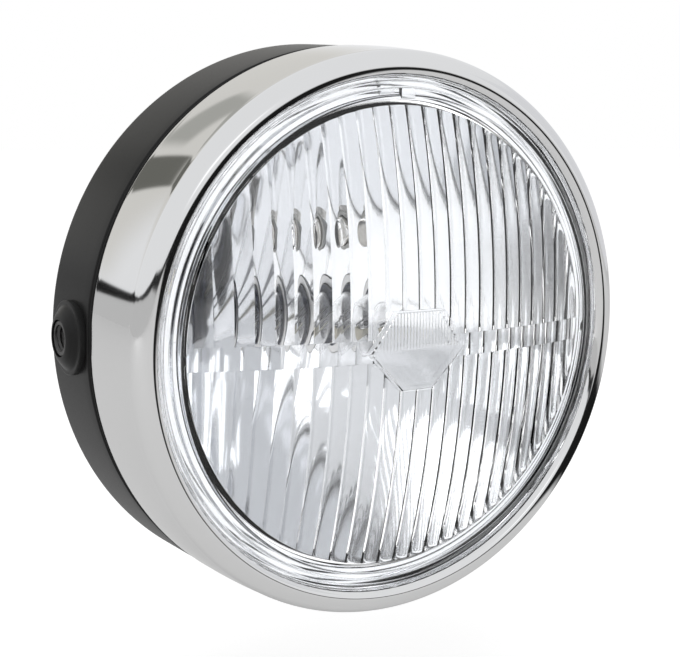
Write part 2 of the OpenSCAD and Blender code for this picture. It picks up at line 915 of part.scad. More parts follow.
module rim_screw() {
    head_h = 2.2;
    slot_w = 1;
    slot_deep = 1.4;
    shank_l = 12;
    color([0.7, 0.7, 0.7])
        translate([0, y_of(screw_back), 0])
            difference() {
                union() {
                    translate([0, 0, screw_seat_z - head_h])
                        cylinder(r1 = screw_d * 0.7, r2 = screw_d * 0.95, h = head_h);
                    translate([0, 0, screw_seat_z - eps])
                        cylinder(r = screw_d / 2, h = shank_l);
                }
                translate([-screw_d, -slot_w / 2, screw_seat_z - head_h - 1])
                    cube([2 * screw_d, slot_w, slot_deep + 1]);
            }
}

// A square nut with a folded plate that lies on the inside of the spigot
module rim_nut() {
    z0 = gap + touch / 2 - spigot_r + shell_wall;
    color([0.6, 0.6, 0.6])
        translate([0, y_of(screw_back), z0])
            difference() {
                union() {
                    translate([-nut_w / 2, -nut_l / 2, 0])
                        cube([nut_w, nut_l, nut_h]);
                    translate([-nut_plate_w / 2, -nut_plate_l / 2, 0])
                        cube([nut_plate_w, nut_plate_l, nut_plate_t]);
                }
                translate([0, 0, -1])
                    cylinder(r = screw_d / 2 + touch / 2, h = nut_h + 2);
            }
}

// A folded hook fixed inside the rim's top, with a tongue through the spigot's slot
module top_hook() {
    foot_l = 8.6;
    z_top = rim_r + rim_flare * (spigot_front + 1) / rim_depth - rim_sheet - 0.5;
    tongue_z = spigot_r - shell_wall - 2;
    foot_back = spigot_front - hook_ahead;
    color([0.6, 0.6, 0.6])
        union() {
            translate([-hook_w / 2, y_of(foot_back), z_top - hook_t])
                cube([hook_w, foot_l, hook_t]);
            translate([-hook_w / 2, y_of(foot_back + foot_l - hook_t), tongue_z])
                cube([hook_w, hook_t, z_top - tongue_z]);
        }
}

module cable_grommet() {
    r = cable_hole_d / 2;
    lip = 2.2;
    lip_t = 1.8;
    bore_r = r - 3.6;
    nose = 2.6;
    color([0.05, 0.05, 0.05])
        translate([0, y_of(total_depth), -cable_drop])
            rotate([-90, 0, 0])
                rotate_extrude()
                    polygon([
                        [bore_r, -shell_wall - lip_t], [r + lip, -shell_wall - lip_t],
                        [r + lip, -shell_wall], [r - gap, -shell_wall], [r - gap, 0],
                        [r + lip, 0], [r + lip - 0.8, 2], [bore_r, nose]
                    ]);
}

shell();
rim_gasket();
chrome_rim();
lens();
lens_seal();
reflector();
rim_clips();
bulb_seat();
seat_rivets();
bulb_clip();
bulb_glass();
bulb_shield();
bulb_filaments();
bulb_cap();
bulb_base();
bulb_contacts();
rubber_boot();
connector();
parking_holder();
parking_bulb_glass();
parking_bulb_cap();
parking_contact();
side_nut_left();
side_nut_right();
side_washer_left();
side_washer_right();
rim_screw();
rim_nut();
top_hook();
cable_grommet();
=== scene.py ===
"""Round moped headlight: the dressed model, its studio and its camera.

Everything is in the row frame: the lamp looks along -Y, +Z is up, and the origin is
where the optical axis meets the axis of the two side threads. Sizes are in
millimetres until a mesh is made, and "back" counts along +Y from the widest line of
the rim's front roll.
"""

import logging
import math
from dataclasses import dataclass, field
from enum import Enum

import bmesh
import bpy
import numpy as np
from mathutils import Matrix, Vector


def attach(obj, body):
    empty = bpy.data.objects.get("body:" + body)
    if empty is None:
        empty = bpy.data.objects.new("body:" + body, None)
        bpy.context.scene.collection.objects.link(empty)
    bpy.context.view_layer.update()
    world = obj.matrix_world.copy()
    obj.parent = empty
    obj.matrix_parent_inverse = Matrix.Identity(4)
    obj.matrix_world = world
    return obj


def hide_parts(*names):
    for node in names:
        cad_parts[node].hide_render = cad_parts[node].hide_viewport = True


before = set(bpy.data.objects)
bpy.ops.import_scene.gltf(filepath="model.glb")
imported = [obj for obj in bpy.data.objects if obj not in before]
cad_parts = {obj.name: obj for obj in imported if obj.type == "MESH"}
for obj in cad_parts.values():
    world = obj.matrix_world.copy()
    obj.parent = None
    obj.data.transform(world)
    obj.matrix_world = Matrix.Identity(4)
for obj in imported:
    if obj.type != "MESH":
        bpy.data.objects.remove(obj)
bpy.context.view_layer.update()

MM = 0.001
SIDE_BACK = 38.0
BODY = "root"
WHITE = (1.0, 1.0, 1.0, 1.0)

Pair = tuple[float, float]
Triple = tuple[float, float, float]
log = logging.getLogger("headlight")


class Axis(Enum):
    """The line that a profile is carried round."""

    BEAM = "beam"
    LEFT = "left"
    RIGHT = "right"


class Edge(Enum):
    """How a surface's creases are shaded: the angle past which an edge stays sharp."""

    CRISP = 30.0
    FINE = 20.0


class Step(Enum):
    """What is done with a second closed shape."""

    CUT = "DIFFERENCE"
    JOIN = "UNION"


# Shapes as arrays


def arc(radius_at: float, back: float, radius: float, start: float, end: float, steps: int) -> np.ndarray:
    """Works out points on an arc round a point of the profile plane.

    The point at angle a is (radius_at + radius cos a, back - radius sin a), so that
    0 degrees is outwards and 90 degrees is to the front.

    Args:
        radius_at: distance of the arc's centre from the optical axis.
        back: depth of the arc's centre.
        radius: radius of the arc.
        start: first angle in degrees.
        end: last angle in degrees.
        steps: number of pieces the arc is cut into.

    Returns:
        An array of (radius, back) pairs.
    """
    a = np.radians(np.linspace(start, end, steps + 1))
    return np.stack([radius_at + radius * np.cos(a), back - radius * np.sin(a)], axis=1)


def line(start: Pair, end: Pair, steps: int) -> np.ndarray:
    """Works out evenly spaced points from start to end, both included.

    Args:
        start: first (radius, back) pair.
        end: last (radius, back) pair.
        steps: number of pieces.

    Returns:
        An array of (radius, back) pairs.
    """
    t = np.linspace(0.0, 1.0, steps + 1)[:, None]
    return (1 - t) * np.array(start) + t * np.array(end)


def rounded(corners: list[Pair], cut: float, steps: int = 4) -> np.ndarray:
    """Rounds each inner corner of a broken line with a quadratic curve.

    The curve at a corner v runs from a to b, which lie cut away along its two sides
    or half a side if that is shorter: (1-t)^2 a + 2t(1-t) v + t^2 b.

    Args:
        corners: the broken line's points.
        cut: how far from a corner its rounding starts.
        steps: number of pieces in each rounding.

    Returns:
        An array of points with the first and last corner kept.
    """
    p = np.array(corners, float)
    before, at, after = p[:-2], p[1:-1], p[2:]
    to_before, to_after = before - at, after - at
    reach_before = np.linalg.norm(to_before, axis=1, keepdims=True)
    reach_after = np.linalg.norm(to_after, axis=1, keepdims=True)
    a = at + to_before / reach_before * np.minimum(cut, reach_before / 2)
    b = at + to_after / reach_after * np.minimum(cut, reach_after / 2)
    t = np.linspace(0.0, 1.0, steps + 1)[None, :, None]
    curve = (1 - t) ** 2 * a[:, None] + 2 * t * (1 - t) * at[:, None] + t**2 * b[:, None]
    return np.concatenate([p[:1], curve.reshape(-1, 2), p[-1:]])


def turned(profile: np.ndarray, around: int | np.ndarray, axis: Axis = Axis.BEAM) -> np.ndarray:
    """Carries a profile round an axis.

    With c and s the cosine and sine of the angle round the axis, a profile point
    (r, b) lands on (r c, b - 38, r s) for the beam, and on (-b, r c, r s) or
    (b, r c, r s) for the two side threads, where b counts outwards.

    Args:
        profile: array of (radius, back) pairs.
        around: number of places round the axis, or their unit vectors.
        axis: the line to turn about.

    Returns:
        A grid of points, shaped (around, profile, 3).
    """
    ring = around
    if isinstance(around, int):
        t = np.linspace(0.0, 2 * np.pi, around, endpoint=False)
        ring = np.stack([np.cos(t), np.sin(t)], axis=1)
    r, b = profile[None, :, 0], profile[None, :, 1]
    c, s = ring[:, :1] * r, ring[:, 1:] * r
    along = np.broadcast_to(b, c.shape)
    if axis is Axis.BEAM:
        return np.stack([c, along - SIDE_BACK, s], axis=-1)
    side = -1.0 if axis is Axis.LEFT else 1.0
    return np.stack([side * along, c, s], axis=-1)


@dataclass
class Surface:
    """Patches of points and faces in millimetres, welded into one mesh at the end."""

    points: list[np.ndarray] = field(default_factory=list)
    faces: list[np.ndarray] = field(default_factory=list)
    count: int = 0

    def add(self, points: np.ndarray, faces: np.ndarray) -> None:
        """Adds loose points and the four-cornered faces between them.

        Args:
            points: array of places.
            faces: array of four point numbers each; a triangle repeats its last one.
        """
        self.points.append(points.reshape(-1, 3))
        self.faces.append(faces.reshape(-1, 4) + self.count)
        self.count += len(self.points[-1])

    def add_grid(self, grid: np.ndarray, wrap_u: bool = False, wrap_v: bool = False) -> None:
        """Adds a grid of points with a face in each of its cells.

        Args:
            grid: points shaped (u, v, 3).
            wrap_u: whether the last row joins the first.
            wrap_v: whether the last column joins the first.
        """
        n, m = grid.shape[:2]
        number = np.arange(n * m).reshape(n, m)
        i = np.arange(n if wrap_u else n - 1)
        j = np.arange(m if wrap_v else m - 1)
        a = number[np.ix_(i, j)]
        b = number[np.ix_((i + 1) % n, j)]
        c = number[np.ix_((i + 1) % n, (j + 1) % m)]
        d = number[np.ix_(i, (j + 1) % m)]
        self.add(grid, np.stack([a, b, c, d], axis=-1))

    def add_turned(self, profile: np.ndarray, around: np.ndarray) -> None:
        """Adds a profile carried round the optical axis."""
        self.add_grid(turned(profile, around), wrap_u=True)

    def add_zip(self, outer: np.ndarray, inner: np.ndarray, r_out: float, r_in: float, back: float) -> None:
        """Adds a flat ring between two circles whose points stand at different angles.

        Both circles start at angle 0. Each edge of one circle is joined to the last
        point of the other that comes before the edge's far end.

        Args:
            outer: unit vectors of the outer circle's points.
            inner: unit vectors of the inner circle's points.
            r_out: radius of the outer circle.
            r_in: radius of the inner circle.
            back: depth of the ring.
        """
        points = np.concatenate(
            [turned(np.array([[r_out, back]]), outer)[:, 0], turned(np.array([[r_in, back]]), inner)[:, 0]]
        )
        full = 2 * np.pi
        a = np.append(np.arctan2(outer[:, 1], outer[:, 0]) % full, full)
        b = np.append(np.arctan2(inner[:, 1], inner[:, 0]) % full, full)
        n, m = len(outer), len(inner)
        i, j = np.arange(n), np.arange(m)
        at_b = np.searchsorted(b, a[1:], side="left") - 1
        at_a = np.searchsorted(a, b[1:], side="right") - 1
        first = np.stack([i, (i + 1) % n, n + at_b % m, n + at_b % m], axis=1)
        second = np.stack([n + j, n + (j + 1) % m, at_a % n, at_a % n], axis=1)
        self.add(points, np.concatenate([first, second]))

    def mesh(self, name: str, edge: Edge = Edge.CRISP) -> bpy.types.Mesh:
        """Welds the patches, drops what has no area and turns every face outwards.

        Args:
            name: name of the mesh.
            edge: how creases are shaded.

        Returns:
            The new mesh, in metres.
        """
        points = np.concatenate(self.points)
        faces = np.concatenate(self.faces)
        _, first, same = np.unique(np.round(points, 4), axis=0, return_index=True, return_inverse=True)
        faces = same.reshape(-1)[faces]
        twin = faces == np.roll(faces, -1, axis=1)
        crossed = (faces[:, 0] == faces[:, 2]) | (faces[:, 1] == faces[:, 3])
        quads = faces[(twin.sum(1) == 0) & ~crossed]
        thin = (twin.sum(1) == 1) & ~crossed
        triangles = faces[thin][~twin[thin]].reshape(-1, 3)
        mesh = bpy.data.meshes.new(name)
        mesh.from_pydata((points[first] * MM).tolist(), [], quads.tolist() + triangles.tolist())
        shell = bmesh.new()
        shell.from_mesh(mesh)
        bmesh.ops.recalc_face_normals(shell, faces=shell.faces)
        shell.to_mesh(mesh)
        shell.free()
        shade(mesh, edge)
        return mesh


def shade(mesh: bpy.types.Mesh, edge: Edge) -> None:
    """Shades a mesh smooth but for its creases."""
    mesh.shade_smooth()
    mesh.set_sharp_from_angle(angle=math.radians(edge.value))


def plug(radius: float, start: float, end: float) -> np.ndarray:
    """Gives the profile of a solid round bar from one depth to another."""
    return np.array([(0.0, start), (radius, start), (radius, end), (0.0, end)])


def turned_mesh(
    name: str,
    profile: np.ndarray,
    around: int = 96,
    axis: Axis = Axis.BEAM,
    closed: bool = False,
    lift: float = 0.0,
) -> bpy.types.Mesh:
    """Makes one mesh of a profile that is carried round an axis.

    Args:
        name: name of the mesh.
        profile: array of (radius, back) pairs.
        around: number of places round the axis.
        axis: the line to turn about.
        closed: whether the profile is a loop itself.
        lift: how far up the shape is moved.

    Returns:
        The new mesh, in metres.
    """
    surface = Surface()
    surface.add_grid(turned(profile, around, axis) + np.array([0.0, 0.0, lift]), wrap_u=True, wrap_v=closed)
    return surface.mesh(name)


def put(name: str, data: bpy.types.ID) -> bpy.types.Object:
    """Makes an object and links it to the scene.

    Args:
        name: name of the object.
        data: its mesh, light or camera.

    Returns:
        The new object.
    """
    thing = bpy.data.objects.new(name, data)
    bpy.context.scene.collection.objects.link(thing)
    return thing


def place(mesh: bpy.types.Mesh, finish: bpy.types.Material, slot: str, *nodes: str) -> bpy.types.Object:
    """Puts a mesh into the scene as a piece that stands for CAD nodes.

    Args:
        mesh: the finished mesh; its name becomes the piece's name.
        finish: the material.
        slot: the record's material slot; not used.
        nodes: the CAD nodes that the piece replaces.

    Returns:
        The new object.
    """
    piece = put(mesh.name, mesh)
    mesh.materials.append(finish)
    if nodes:
        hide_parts(*nodes)
    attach(piece, BODY)
    log.info("%s: %d faces", piece.name, len(mesh.polygons))
    return piece


def dress(finish: bpy.types.Material, *nodes: str) -> None:
    """Gives CAD nodes their material and leaves their shapes alone.

    Args:
        finish: the material.
        nodes: names of the CAD nodes.
    """
    for node in nodes:
        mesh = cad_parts[node].data
        mesh.materials.clear()
        mesh.materials.append(finish)
        log.info("%s: kept from the frame", node)


def boolean(
    mesh: bpy.types.Mesh, other: bpy.types.Mesh, step: Step, edge: Edge = Edge.CRISP
) -> bpy.types.Mesh:
    """Takes one closed mesh away from another, or joins it on.

    Args:
        mesh: the first shape, whose name is kept.
        other: the shape that is taken away or added.
        step: which of the two is done.
        edge: how the result's creases are shaded.

    Returns:
        A new mesh.
    """
    name = mesh.name
    body, tool = put(name + "_whole", mesh), put(name + "_tool", other)
    change = body.modifiers.new("change", "BOOLEAN")
    change.operation = step.value
    change.solver = "EXACT"
    change.object = tool
    bpy.context.view_layer.update()
    result = bpy.data.meshes.new_from_object(body.evaluated_get(bpy.context.evaluated_depsgraph_get()))
    for part in (body, tool):
        bpy.data.objects.remove(part)
    mesh.name = name + "_old"
    result.name = name
    shade(result, edge)
    return result


# Finishes

Link = tuple[bpy.types.Node, str | int, bpy.types.Node, str | int]


@dataclass
class Wiring:
    """The shader nodes of one material or world."""

    owner: bpy.types.ID
    bare: bool = True

    def __post_init__(self) -> None:
        """Turns the nodes on, and takes out the first ones unless they are wanted."""
        self.owner.use_nodes = True
        self.tree = self.owner.node_tree
        if self.bare:
            self.tree.nodes.clear()

    def add(self, kind: str, values: dict | None = None, **options: str) -> bpy.types.Node:
        """Adds a node.

        Args:
            kind: its type, without the word ShaderNode.
            values: what its own sockets are set to.
            options: what its menus are set to.

        Returns:
            The new node.
        """
        node = self.tree.nodes.new("ShaderNode" + kind)
        for menu, option in options.items():
            setattr(node, menu, option)
        for socket, value in (values or {}).items():
            node.inputs[socket].default_value = value
        return node

    def surface(self, values: dict[str, float]) -> bpy.types.Node:
        """Sets up the shader that a new material starts with.

        Args:
            values: what its own sockets are set to.

        Returns:
            The shader's node.
        """
        shader = self.tree.nodes["Principled BSDF"]
        for socket, value in values.items():
            shader.inputs[socket].default_value = value
        return shader

    def join(self, *links: Link) -> None:
        """Links an output of one node to an input of another, for each link given."""
        for start, output, end, socket in links:
            self.tree.links.new(start.outputs[output], end.inputs[socket])

    def fading_glow(self) -> tuple[bpy.types.Node, bpy.types.Node]:
        """Adds a glow that can fade into clear air.

        Returns:
            The glow, and the mix whose factor says how much of it shows.
        """
        through, glow, mix = self.add("BsdfTransparent"), self.add("Emission"), self.add("MixShader")
        out = self.add("OutputMaterial")
        self.join((through, 0, mix, 1), (glow, 0, mix, 2), (mix, 0, out, "Surface"))
        return glow, mix


@dataclass(frozen=True)
class Speckle:
    """A fine unevenness that a finish shows in its gloss and its surface."""

    scale: float
    detail: float = 3.0
    gloss_low: float = 0.0
    gloss_high: float = 0.0
    bump: float = 0.0
    depth: float = 0.00004


@dataclass(frozen=True)
class Finish:
    """A painted, plated, moulded or glass finish made of shader nodes."""

    name: str
    colour: Triple
    shade: Triple
    metal: float
    speckle: Speckle
    clear: float = 0.0
    ior: float = 1.5
    specular: float = 0.5
    colour_scale: float = 30.0
    stretch: Triple = (1.0, 1.0, 1.0)

    def build(self) -> bpy.types.Material:
        """Makes the material.

        Returns:
            A material whose colour drifts between two tones by a slow noise, and
            whose gloss and surface follow a fine noise, all in Object coordinates.
        """
        material = bpy.data.materials.new(self.name)
        wiring = Wiring(material, bare=False)
        shader = wiring.surface({
            "Metallic": self.metal, "IOR": self.ior, "Specular IOR Level": self.specular,
            "Transmission Weight": self.clear,
        })
        fleck = self.speckle
        place_at = wiring.add("TexCoord")
        spread = wiring.add("Mapping", {"Scale": self.stretch})
        slow = wiring.add("TexNoise", {"Scale": self.colour_scale, "Detail": 2.0})
        tone = wiring.add("Mix", {"A": (*self.colour, 1.0), "B": (*self.shade, 1.0)}, data_type="RGBA")
        fine = wiring.add("TexNoise", {"Scale": fleck.scale, "Detail": fleck.detail})
        gloss = wiring.add("MapRange", {"To Min": fleck.gloss_low, "To Max": fleck.gloss_high})
        wiring.join(
            (place_at, "Object", spread, "Vector"),
            (spread, "Vector", slow, "Vector"),
            (slow, "Fac", tone, "Factor"),
            (tone, "Result", shader, "Base Color"),
            (spread, "Vector", fine, "Vector"),
            (fine, "Fac", gloss, "Value"),
            (gloss, "Result", shader, "Roughness"),
        )
        if fleck.bump > 0.0:
            bump = wiring.add("Bump", {"Strength": fleck.bump, "Distance": fleck.depth})
            wiring.join((fine, "Fac", bump, "Height"), (bump, "Normal", shader, "Normal"))
        return material


class Finishes:
    """All finishes of the lamp, made once."""

    def __init__(self) -> None:
        """Makes every material."""
        self.chrome = Finish(
            "bright_chrome", (0.82, 0.82, 0.82), (0.78, 0.78, 0.78), 1.0,
            Speckle(90.0, 2.0, 0.045, 0.075, 0.06), colour_scale=14.0,
        ).build()
        self.shell = Finish(
            "black_moulding", (0.009, 0.009, 0.009), (0.006, 0.006, 0.006), 0.0,
            Speckle(2600.0, 3.0, 0.30, 0.42, 0.16, 0.00005), specular=0.22, colour_scale=25.0,
        ).build()
        self.glass = Finish(
            "pressed_glass", (0.990, 0.994, 0.998), (0.982, 0.987, 0.992), 0.0,
            Speckle(60.0, 1.0, 0.0, 0.012), clear=1.0, ior=1.5, colour_scale=18.0,
        ).build()
        self.mirror = Finish(
            "bright_bowl", (0.81, 0.82, 0.84), (0.77, 0.78, 0.80), 1.0,
            Speckle(140.0, 2.0, 0.05, 0.09, 0.05), colour_scale=22.0,
        ).build()
        self.rubber = Finish(
            "black_rubber", (0.007, 0.007, 0.007), (0.012, 0.012, 0.012), 0.0,
            Speckle(1500.0, 3.0, 0.60, 0.78, 0.2, 0.00006), specular=0.2, colour_scale=40.0,
        ).build()
        self.pale_rubber = Finish(
            "pale_plug", (0.55, 0.55, 0.54), (0.48, 0.48, 0.47), 0.0,
            Speckle(900.0, 3.0, 0.35, 0.5, 0.1, 0.00005), colour_scale=40.0,
        ).build()
        self.cap = Finish(
            "dark_cap", (0.05, 0.055, 0.075), (0.03, 0.033, 0.045), 0.7,
            Speckle(300.0, 3.0, 0.16, 0.26, 0.05), colour_scale=70.0,
        ).build()
        self.zinc = Finish(
            "zinc_plate", (0.62, 0.62, 0.63), (0.52, 0.52, 0.52), 1.0,
            Speckle(700.0, 4.0, 0.22, 0.38, 0.08), colour_scale=60.0,
        ).build()
        self.spring = Finish(
            "spring_steel", (0.50, 0.51, 0.53), (0.42, 0.42, 0.44), 1.0,
            Speckle(500.0, 4.0, 0.24, 0.36, 0.06), colour_scale=50.0, stretch=(1.0, 6.0, 1.0),
        ).build()
        self.nickel = Finish(
            "nickel_cap", (0.66, 0.64, 0.60), (0.56, 0.54, 0.50), 1.0,
            Speckle(600.0, 3.0, 0.18, 0.30, 0.05), colour_scale=70.0,
        ).build()
        self.black_steel = Finish(
            "blackened_steel", (0.05, 0.05, 0.052), (0.08, 0.078, 0.075), 0.6,
            Speckle(900.0, 4.0, 0.25, 0.42, 0.1), colour_scale=120.0,
        ).build()
        self.bulb = Finish(
            "bulb_glass", (0.99, 0.99, 0.99), (0.98, 0.98, 0.98), 0.0,
            Speckle(50.0, 1.0, 0.0, 0.004), clear=1.0, ior=1.47,
        ).build()
        self.wire = Finish(
            "tungsten_wire", (0.30, 0.30, 0.32), (0.40, 0.40, 0.41), 1.0,
            Speckle(800.0, 3.0, 0.3, 0.45), colour_scale=90.0,
        ).build()
        self.base = Finish(
            "black_base", (0.03, 0.03, 0.03), (0.045, 0.045, 0.045), 0.0,
            Speckle(900.0, 3.0, 0.35, 0.5, 0.1, 0.00005),
        ).build()
        self.brass = Finish(
            "brass_blade", (0.76, 0.62, 0.34), (0.66, 0.53, 0.28), 1.0,
            Speckle(500.0, 3.0, 0.2, 0.34, 0.04), colour_scale=60.0,
        ).build()
        self.cream = Finish(
            "cream_moulding", (0.74, 0.70, 0.58), (0.68, 0.64, 0.52), 0.0,
            Speckle(1100.0, 3.0, 0.4, 0.52, 0.1, 0.00005),
        ).build()


# The lamp's sub-assemblies


@dataclass
class Rim:
    """The pressed rim: a flared barrel, a front roll, a lip and a flange turned in at the rear."""

    radius: float = 85.0
    flare: float = 1.4
    depth: float = 24.0
    sheet: float = 0.8
    roll: float = 5.0
    lip_bend: float = 3.0
    lip_radius: float = 77.0
    lip_back: float = -1.4
    flange: float = 3.2
    barrel_crown: float = 0.25
    rear_bend: float = 1.2
    around: int = 480

    def profile(self) -> np.ndarray:
        """Works out the closed outline of the sheet: outside first, then inside at the sheet's thickness.

        The barrel between the rear bend and the roll bulges by crown 4 t (1 - t), with
        t from 0 to 1 along it.

        Returns:
            An array of (radius, back) pairs.
        """
        rear = self.radius + self.flare
        roll_at = self.radius - self.roll
        lip_at = self.lip_radius + self.lip_bend
        lip_outer = self.lip_radius + self.sheet
        lip_front = self.lip_bend - self.roll
        flange_in = rear - self.flange
        bend = self.rear_bend
        inner = self.rear_bend - self.sheet
        barrel = line((rear - 0.06, self.depth - bend - 1.0), (self.radius + 0.05, 0.8), 24)
        t = np.linspace(0.0, 1.0, len(barrel))
        barrel[:, 0] += self.barrel_crown * 4 * t * (1 - t)
        return np.concatenate([
            line((flange_in, self.depth), (rear - bend - 0.1, self.depth), 3),
            arc(rear - bend, self.depth - bend, bend, -90, 0, 8),
            barrel,
            arc(roll_at, 0.0, self.roll, 0, 90, 28),
            arc(lip_at, lip_front, self.lip_bend, 90, 180, 20),
            line((self.lip_radius, lip_front + 0.3), (self.lip_radius, self.lip_back), 4),
            line((lip_outer, self.lip_back), (lip_outer, lip_front), 3),
            arc(lip_at, lip_front, self.lip_bend - self.sheet, 180, 90, 8),
            arc(roll_at, 0.0, self.roll - self.sheet, 90, 0, 10),
            arc(rear - bend, self.depth - bend, inner, 0, -90, 4),
            line((flange_in + 0.3, self.depth - self.sheet), (flange_in, self.depth - self.sheet), 1),
        ])

    def build(self, finishes: Finishes) -> None:
        """Makes the rim and dresses its screw, nut, hook and clips.

        Args:
            finishes: the lamp's finishes.
        """
        sheet_metal = turned_mesh("rim_pressed", self.profile(), self.around, closed=True)
        place(sheet_metal, finishes.chrome, "rim_chrome", "chrome_rim")
        dress(finishes.zinc, "rim_screw", "top_hook")
        dress(finishes.spring, "rim_nut", "rim_clips")


def run(start: np.ndarray, end: np.ndarray, steps: int) -> np.ndarray:
    """Runs evenly from one value to another in each column: start (1 - t) + end t."""
    t = np.linspace(0.0, 1.0, steps + 1)[None, :]
    return start[:, None] * (1 - t) + end[:, None] * t


@dataclass
class Lens:
    """The pressed glass: a dome with a stepped edge and a plate outside, and flutes inside."""

    lip_radius: float = 77.0
    lip_back: float = -1.4
    land: float = 3.2
    flange: float = 4.0
    glass: float = 3.6
    steps: int = 3
    tread: float = 1.7
    riser: float = 1.1
    slope: float = 0.4
    bore: float = 75.0
    draft: float = 1.5
    crown: float = 11.0
    pitch: float = 5.6
    depth: float = 0.6
    margin: float = 1.2
    row_top: float = 2.2
    row_bottom: float = 4.5
    row_shift: float = 0.3
    row_depth: float = 0.65
    plate_sink: float = 0.2
    tab_width: float = 4.8
    tab_out: float = 0.5
    tab_thick: float = 2.0
    tab_from: float = 0.9
    tab_height: float = 3.0
    plate_half: float = 17.0
    edge_half: float = 8.4
    foot_half: float = 5.8
    plate_top: float = 10.2
    plate_mid: float = -1.5
    plate_bottom: float = 13.2
    proud: float = 0.5
    rib: float = 1.1
    rib_depth: float = 0.34
    rib_from: float = 0.8
    rib_fade: float = 0.8
    rib_run: float = 0.3
    rise_run: float = 1.2
    bevel: float = 0.3

    def __post_init__(self) -> None:
        """Works out the radii and depths that follow from the sizes."""
        self.outer_edge = self.lip_radius + self.land
        self.first_step = self.lip_radius - 0.8
        self.dome = self.first_step - self.steps * (self.tread + self.slope)
        self.field = self.dome - self.margin
        self.dome_back = self.lip_back - self.steps * self.riser
        self.apex = self.dome_back - self.crown
        self.ball = (self.dome**2 + self.crown**2) / (2 * self.crown)
        self.inner_ball = self.ball - self.glass
        self.centre = self.apex + self.ball
        self.rear = self.lip_back + self.flange

    def half_columns(self, middle: np.ndarray, radius: float, fine: float) -> np.ndarray:
        """Places upright columns from one side of a disc to the other.

        Near the disc's side they are evenly spaced by angle, so that the outline
        stays round: x = radius cos a.

        Args:
            middle: columns from the middle outwards, starting at 0.
            radius: radius of the disc.
            fine: step of the angle in degrees near the side.

        Returns:
            Rising x values from -radius to radius.
        """
        last = math.degrees(math.acos(middle[-1] / radius))
        a = np.radians(np.linspace(last, 0.0, max(2, round(last / fine)) + 1))[1:]
        half = np.concatenate([middle, radius * np.cos(a)])
        return np.concatenate([-half[:0:-1], half])

    @staticmethod
    def outline(x: np.ndarray, radius: float) -> np.ndarray:
        """Works out where a disc's outline points stand, round from +X.

        Args:
            x: the disc's columns.
            radius: its radius.

        Returns:
            The points' unit vectors.
        """
        height = np.sqrt(np.maximum(radius**2 - x**2, 0.0))
        upper = np.stack([x[::-1], height[::-1]], axis=1)
        lower = np.stack([x[1:-1], -height[1:-1]], axis=1)
        return np.concatenate([upper, lower]) / radius

    def plate_edge(self, side: np.ndarray, flat_half: float, level: float) -> np.ndarray:
        """Gives the height of the plate's upper or lower edge at a distance from the middle."""
        return np.interp(side, [0.0, flat_half, self.plate_half], [level, level, self.plate_mid])

    def front(self) -> tuple[np.ndarray, np.ndarray]:
        """Works out the outside of the dome with its plate.

        A point lies at the depth centre - sqrt(R^2 - x^2 - z^2), with R the dome's
        radius, grown by the plate's height inside the six-sided outline. On the
        plate's upper half a cosine of x lowers the surface into fine ribs. Rows
        follow the plate's lower and upper edges and close up beside it.

        Returns:
            The grid of points and the columns' x values.
        """
        close = np.linspace(0.0, self.plate_half, 125)
        wide = np.linspace(self.plate_half, 0.9 * self.dome, 40)[1:]
        x = self.half_columns(np.concatenate([close, wide]), self.dome, 1.2)
        side = np.abs(x)
        height = np.sqrt(np.maximum(self.dome**2 - x**2, 0.0))
        top = self.plate_edge(side, self.edge_half, self.plate_top)
        foot = self.plate_edge(side, self.foot_half, -self.plate_bottom)
        raise_by = self.proud * np.clip((top - foot) / self.rise_run, 0.0, 1.0)
        inset = np.minimum(self.bevel, (top - foot) / 3)
        low, high = foot + inset, top - inset
        rib_low = np.clip(self.plate_mid + self.rib_from, low, high)
        rib_on = np.clip((high - rib_low) / self.rib_fade, 0.0, 1.0)
        rib_full = np.minimum(rib_low + self.rib_run, high)
        groove = self.rib_depth * (0.5 - 0.5 * np.cos(2 * np.pi * x / self.rib)) * rib_on
        zero = np.zeros_like(x)
        zones = [
            (-height, foot, zero, zero, zero, zero, 16),
            (foot, low, zero, raise_by, zero, zero, 2),
            (low, rib_low, raise_by, raise_by, zero, zero, 9),
            (rib_low, rib_full, raise_by, raise_by, zero, groove, 2),
            (rib_full, high, raise_by, raise_by, groove, groove, 8),
            (high, top, raise_by, zero, groove, zero, 2),
            (top, height, zero, zero, zero, zero, 16),
        ]
        rows_z, rows_up = [], []
        for start, end, up_a, up_b, dip_a, dip_b, steps in zones:
            rows_z.append(run(start, end, steps))
            rows_up.append(run(up_a - dip_a, up_b - dip_b, steps))
        z, up = np.concatenate(rows_z, axis=1), np.concatenate(rows_up, axis=1)
        wide_x = np.broadcast_to(x[:, None], z.shape)
        back = self.centre - np.sqrt((self.ball + up) ** 2 - wide_x**2 - z**2)
        return np.stack([wide_x, back - SIDE_BACK, z], axis=-1), x

    def flute(self, x: np.ndarray, shift: float, depth: float) -> np.ndarray:
        """Gives the flutes' radius about the upright line through the dome's centre.

        It is sqrt(r^2 - x^2) + depth q^2, where q runs from -1 to 1 over one flute.

        Args:
            x: places across the lens.
            shift: how far the flutes are set over.
            depth: depth of a flute.

        Returns:
            The radius at each place.
        """
        turn = (x - shift) / self.pitch
        q = 2 * (turn - np.floor(turn)) - 1
        return np.sqrt(self.inner_ball**2 - x**2) + depth * q**2

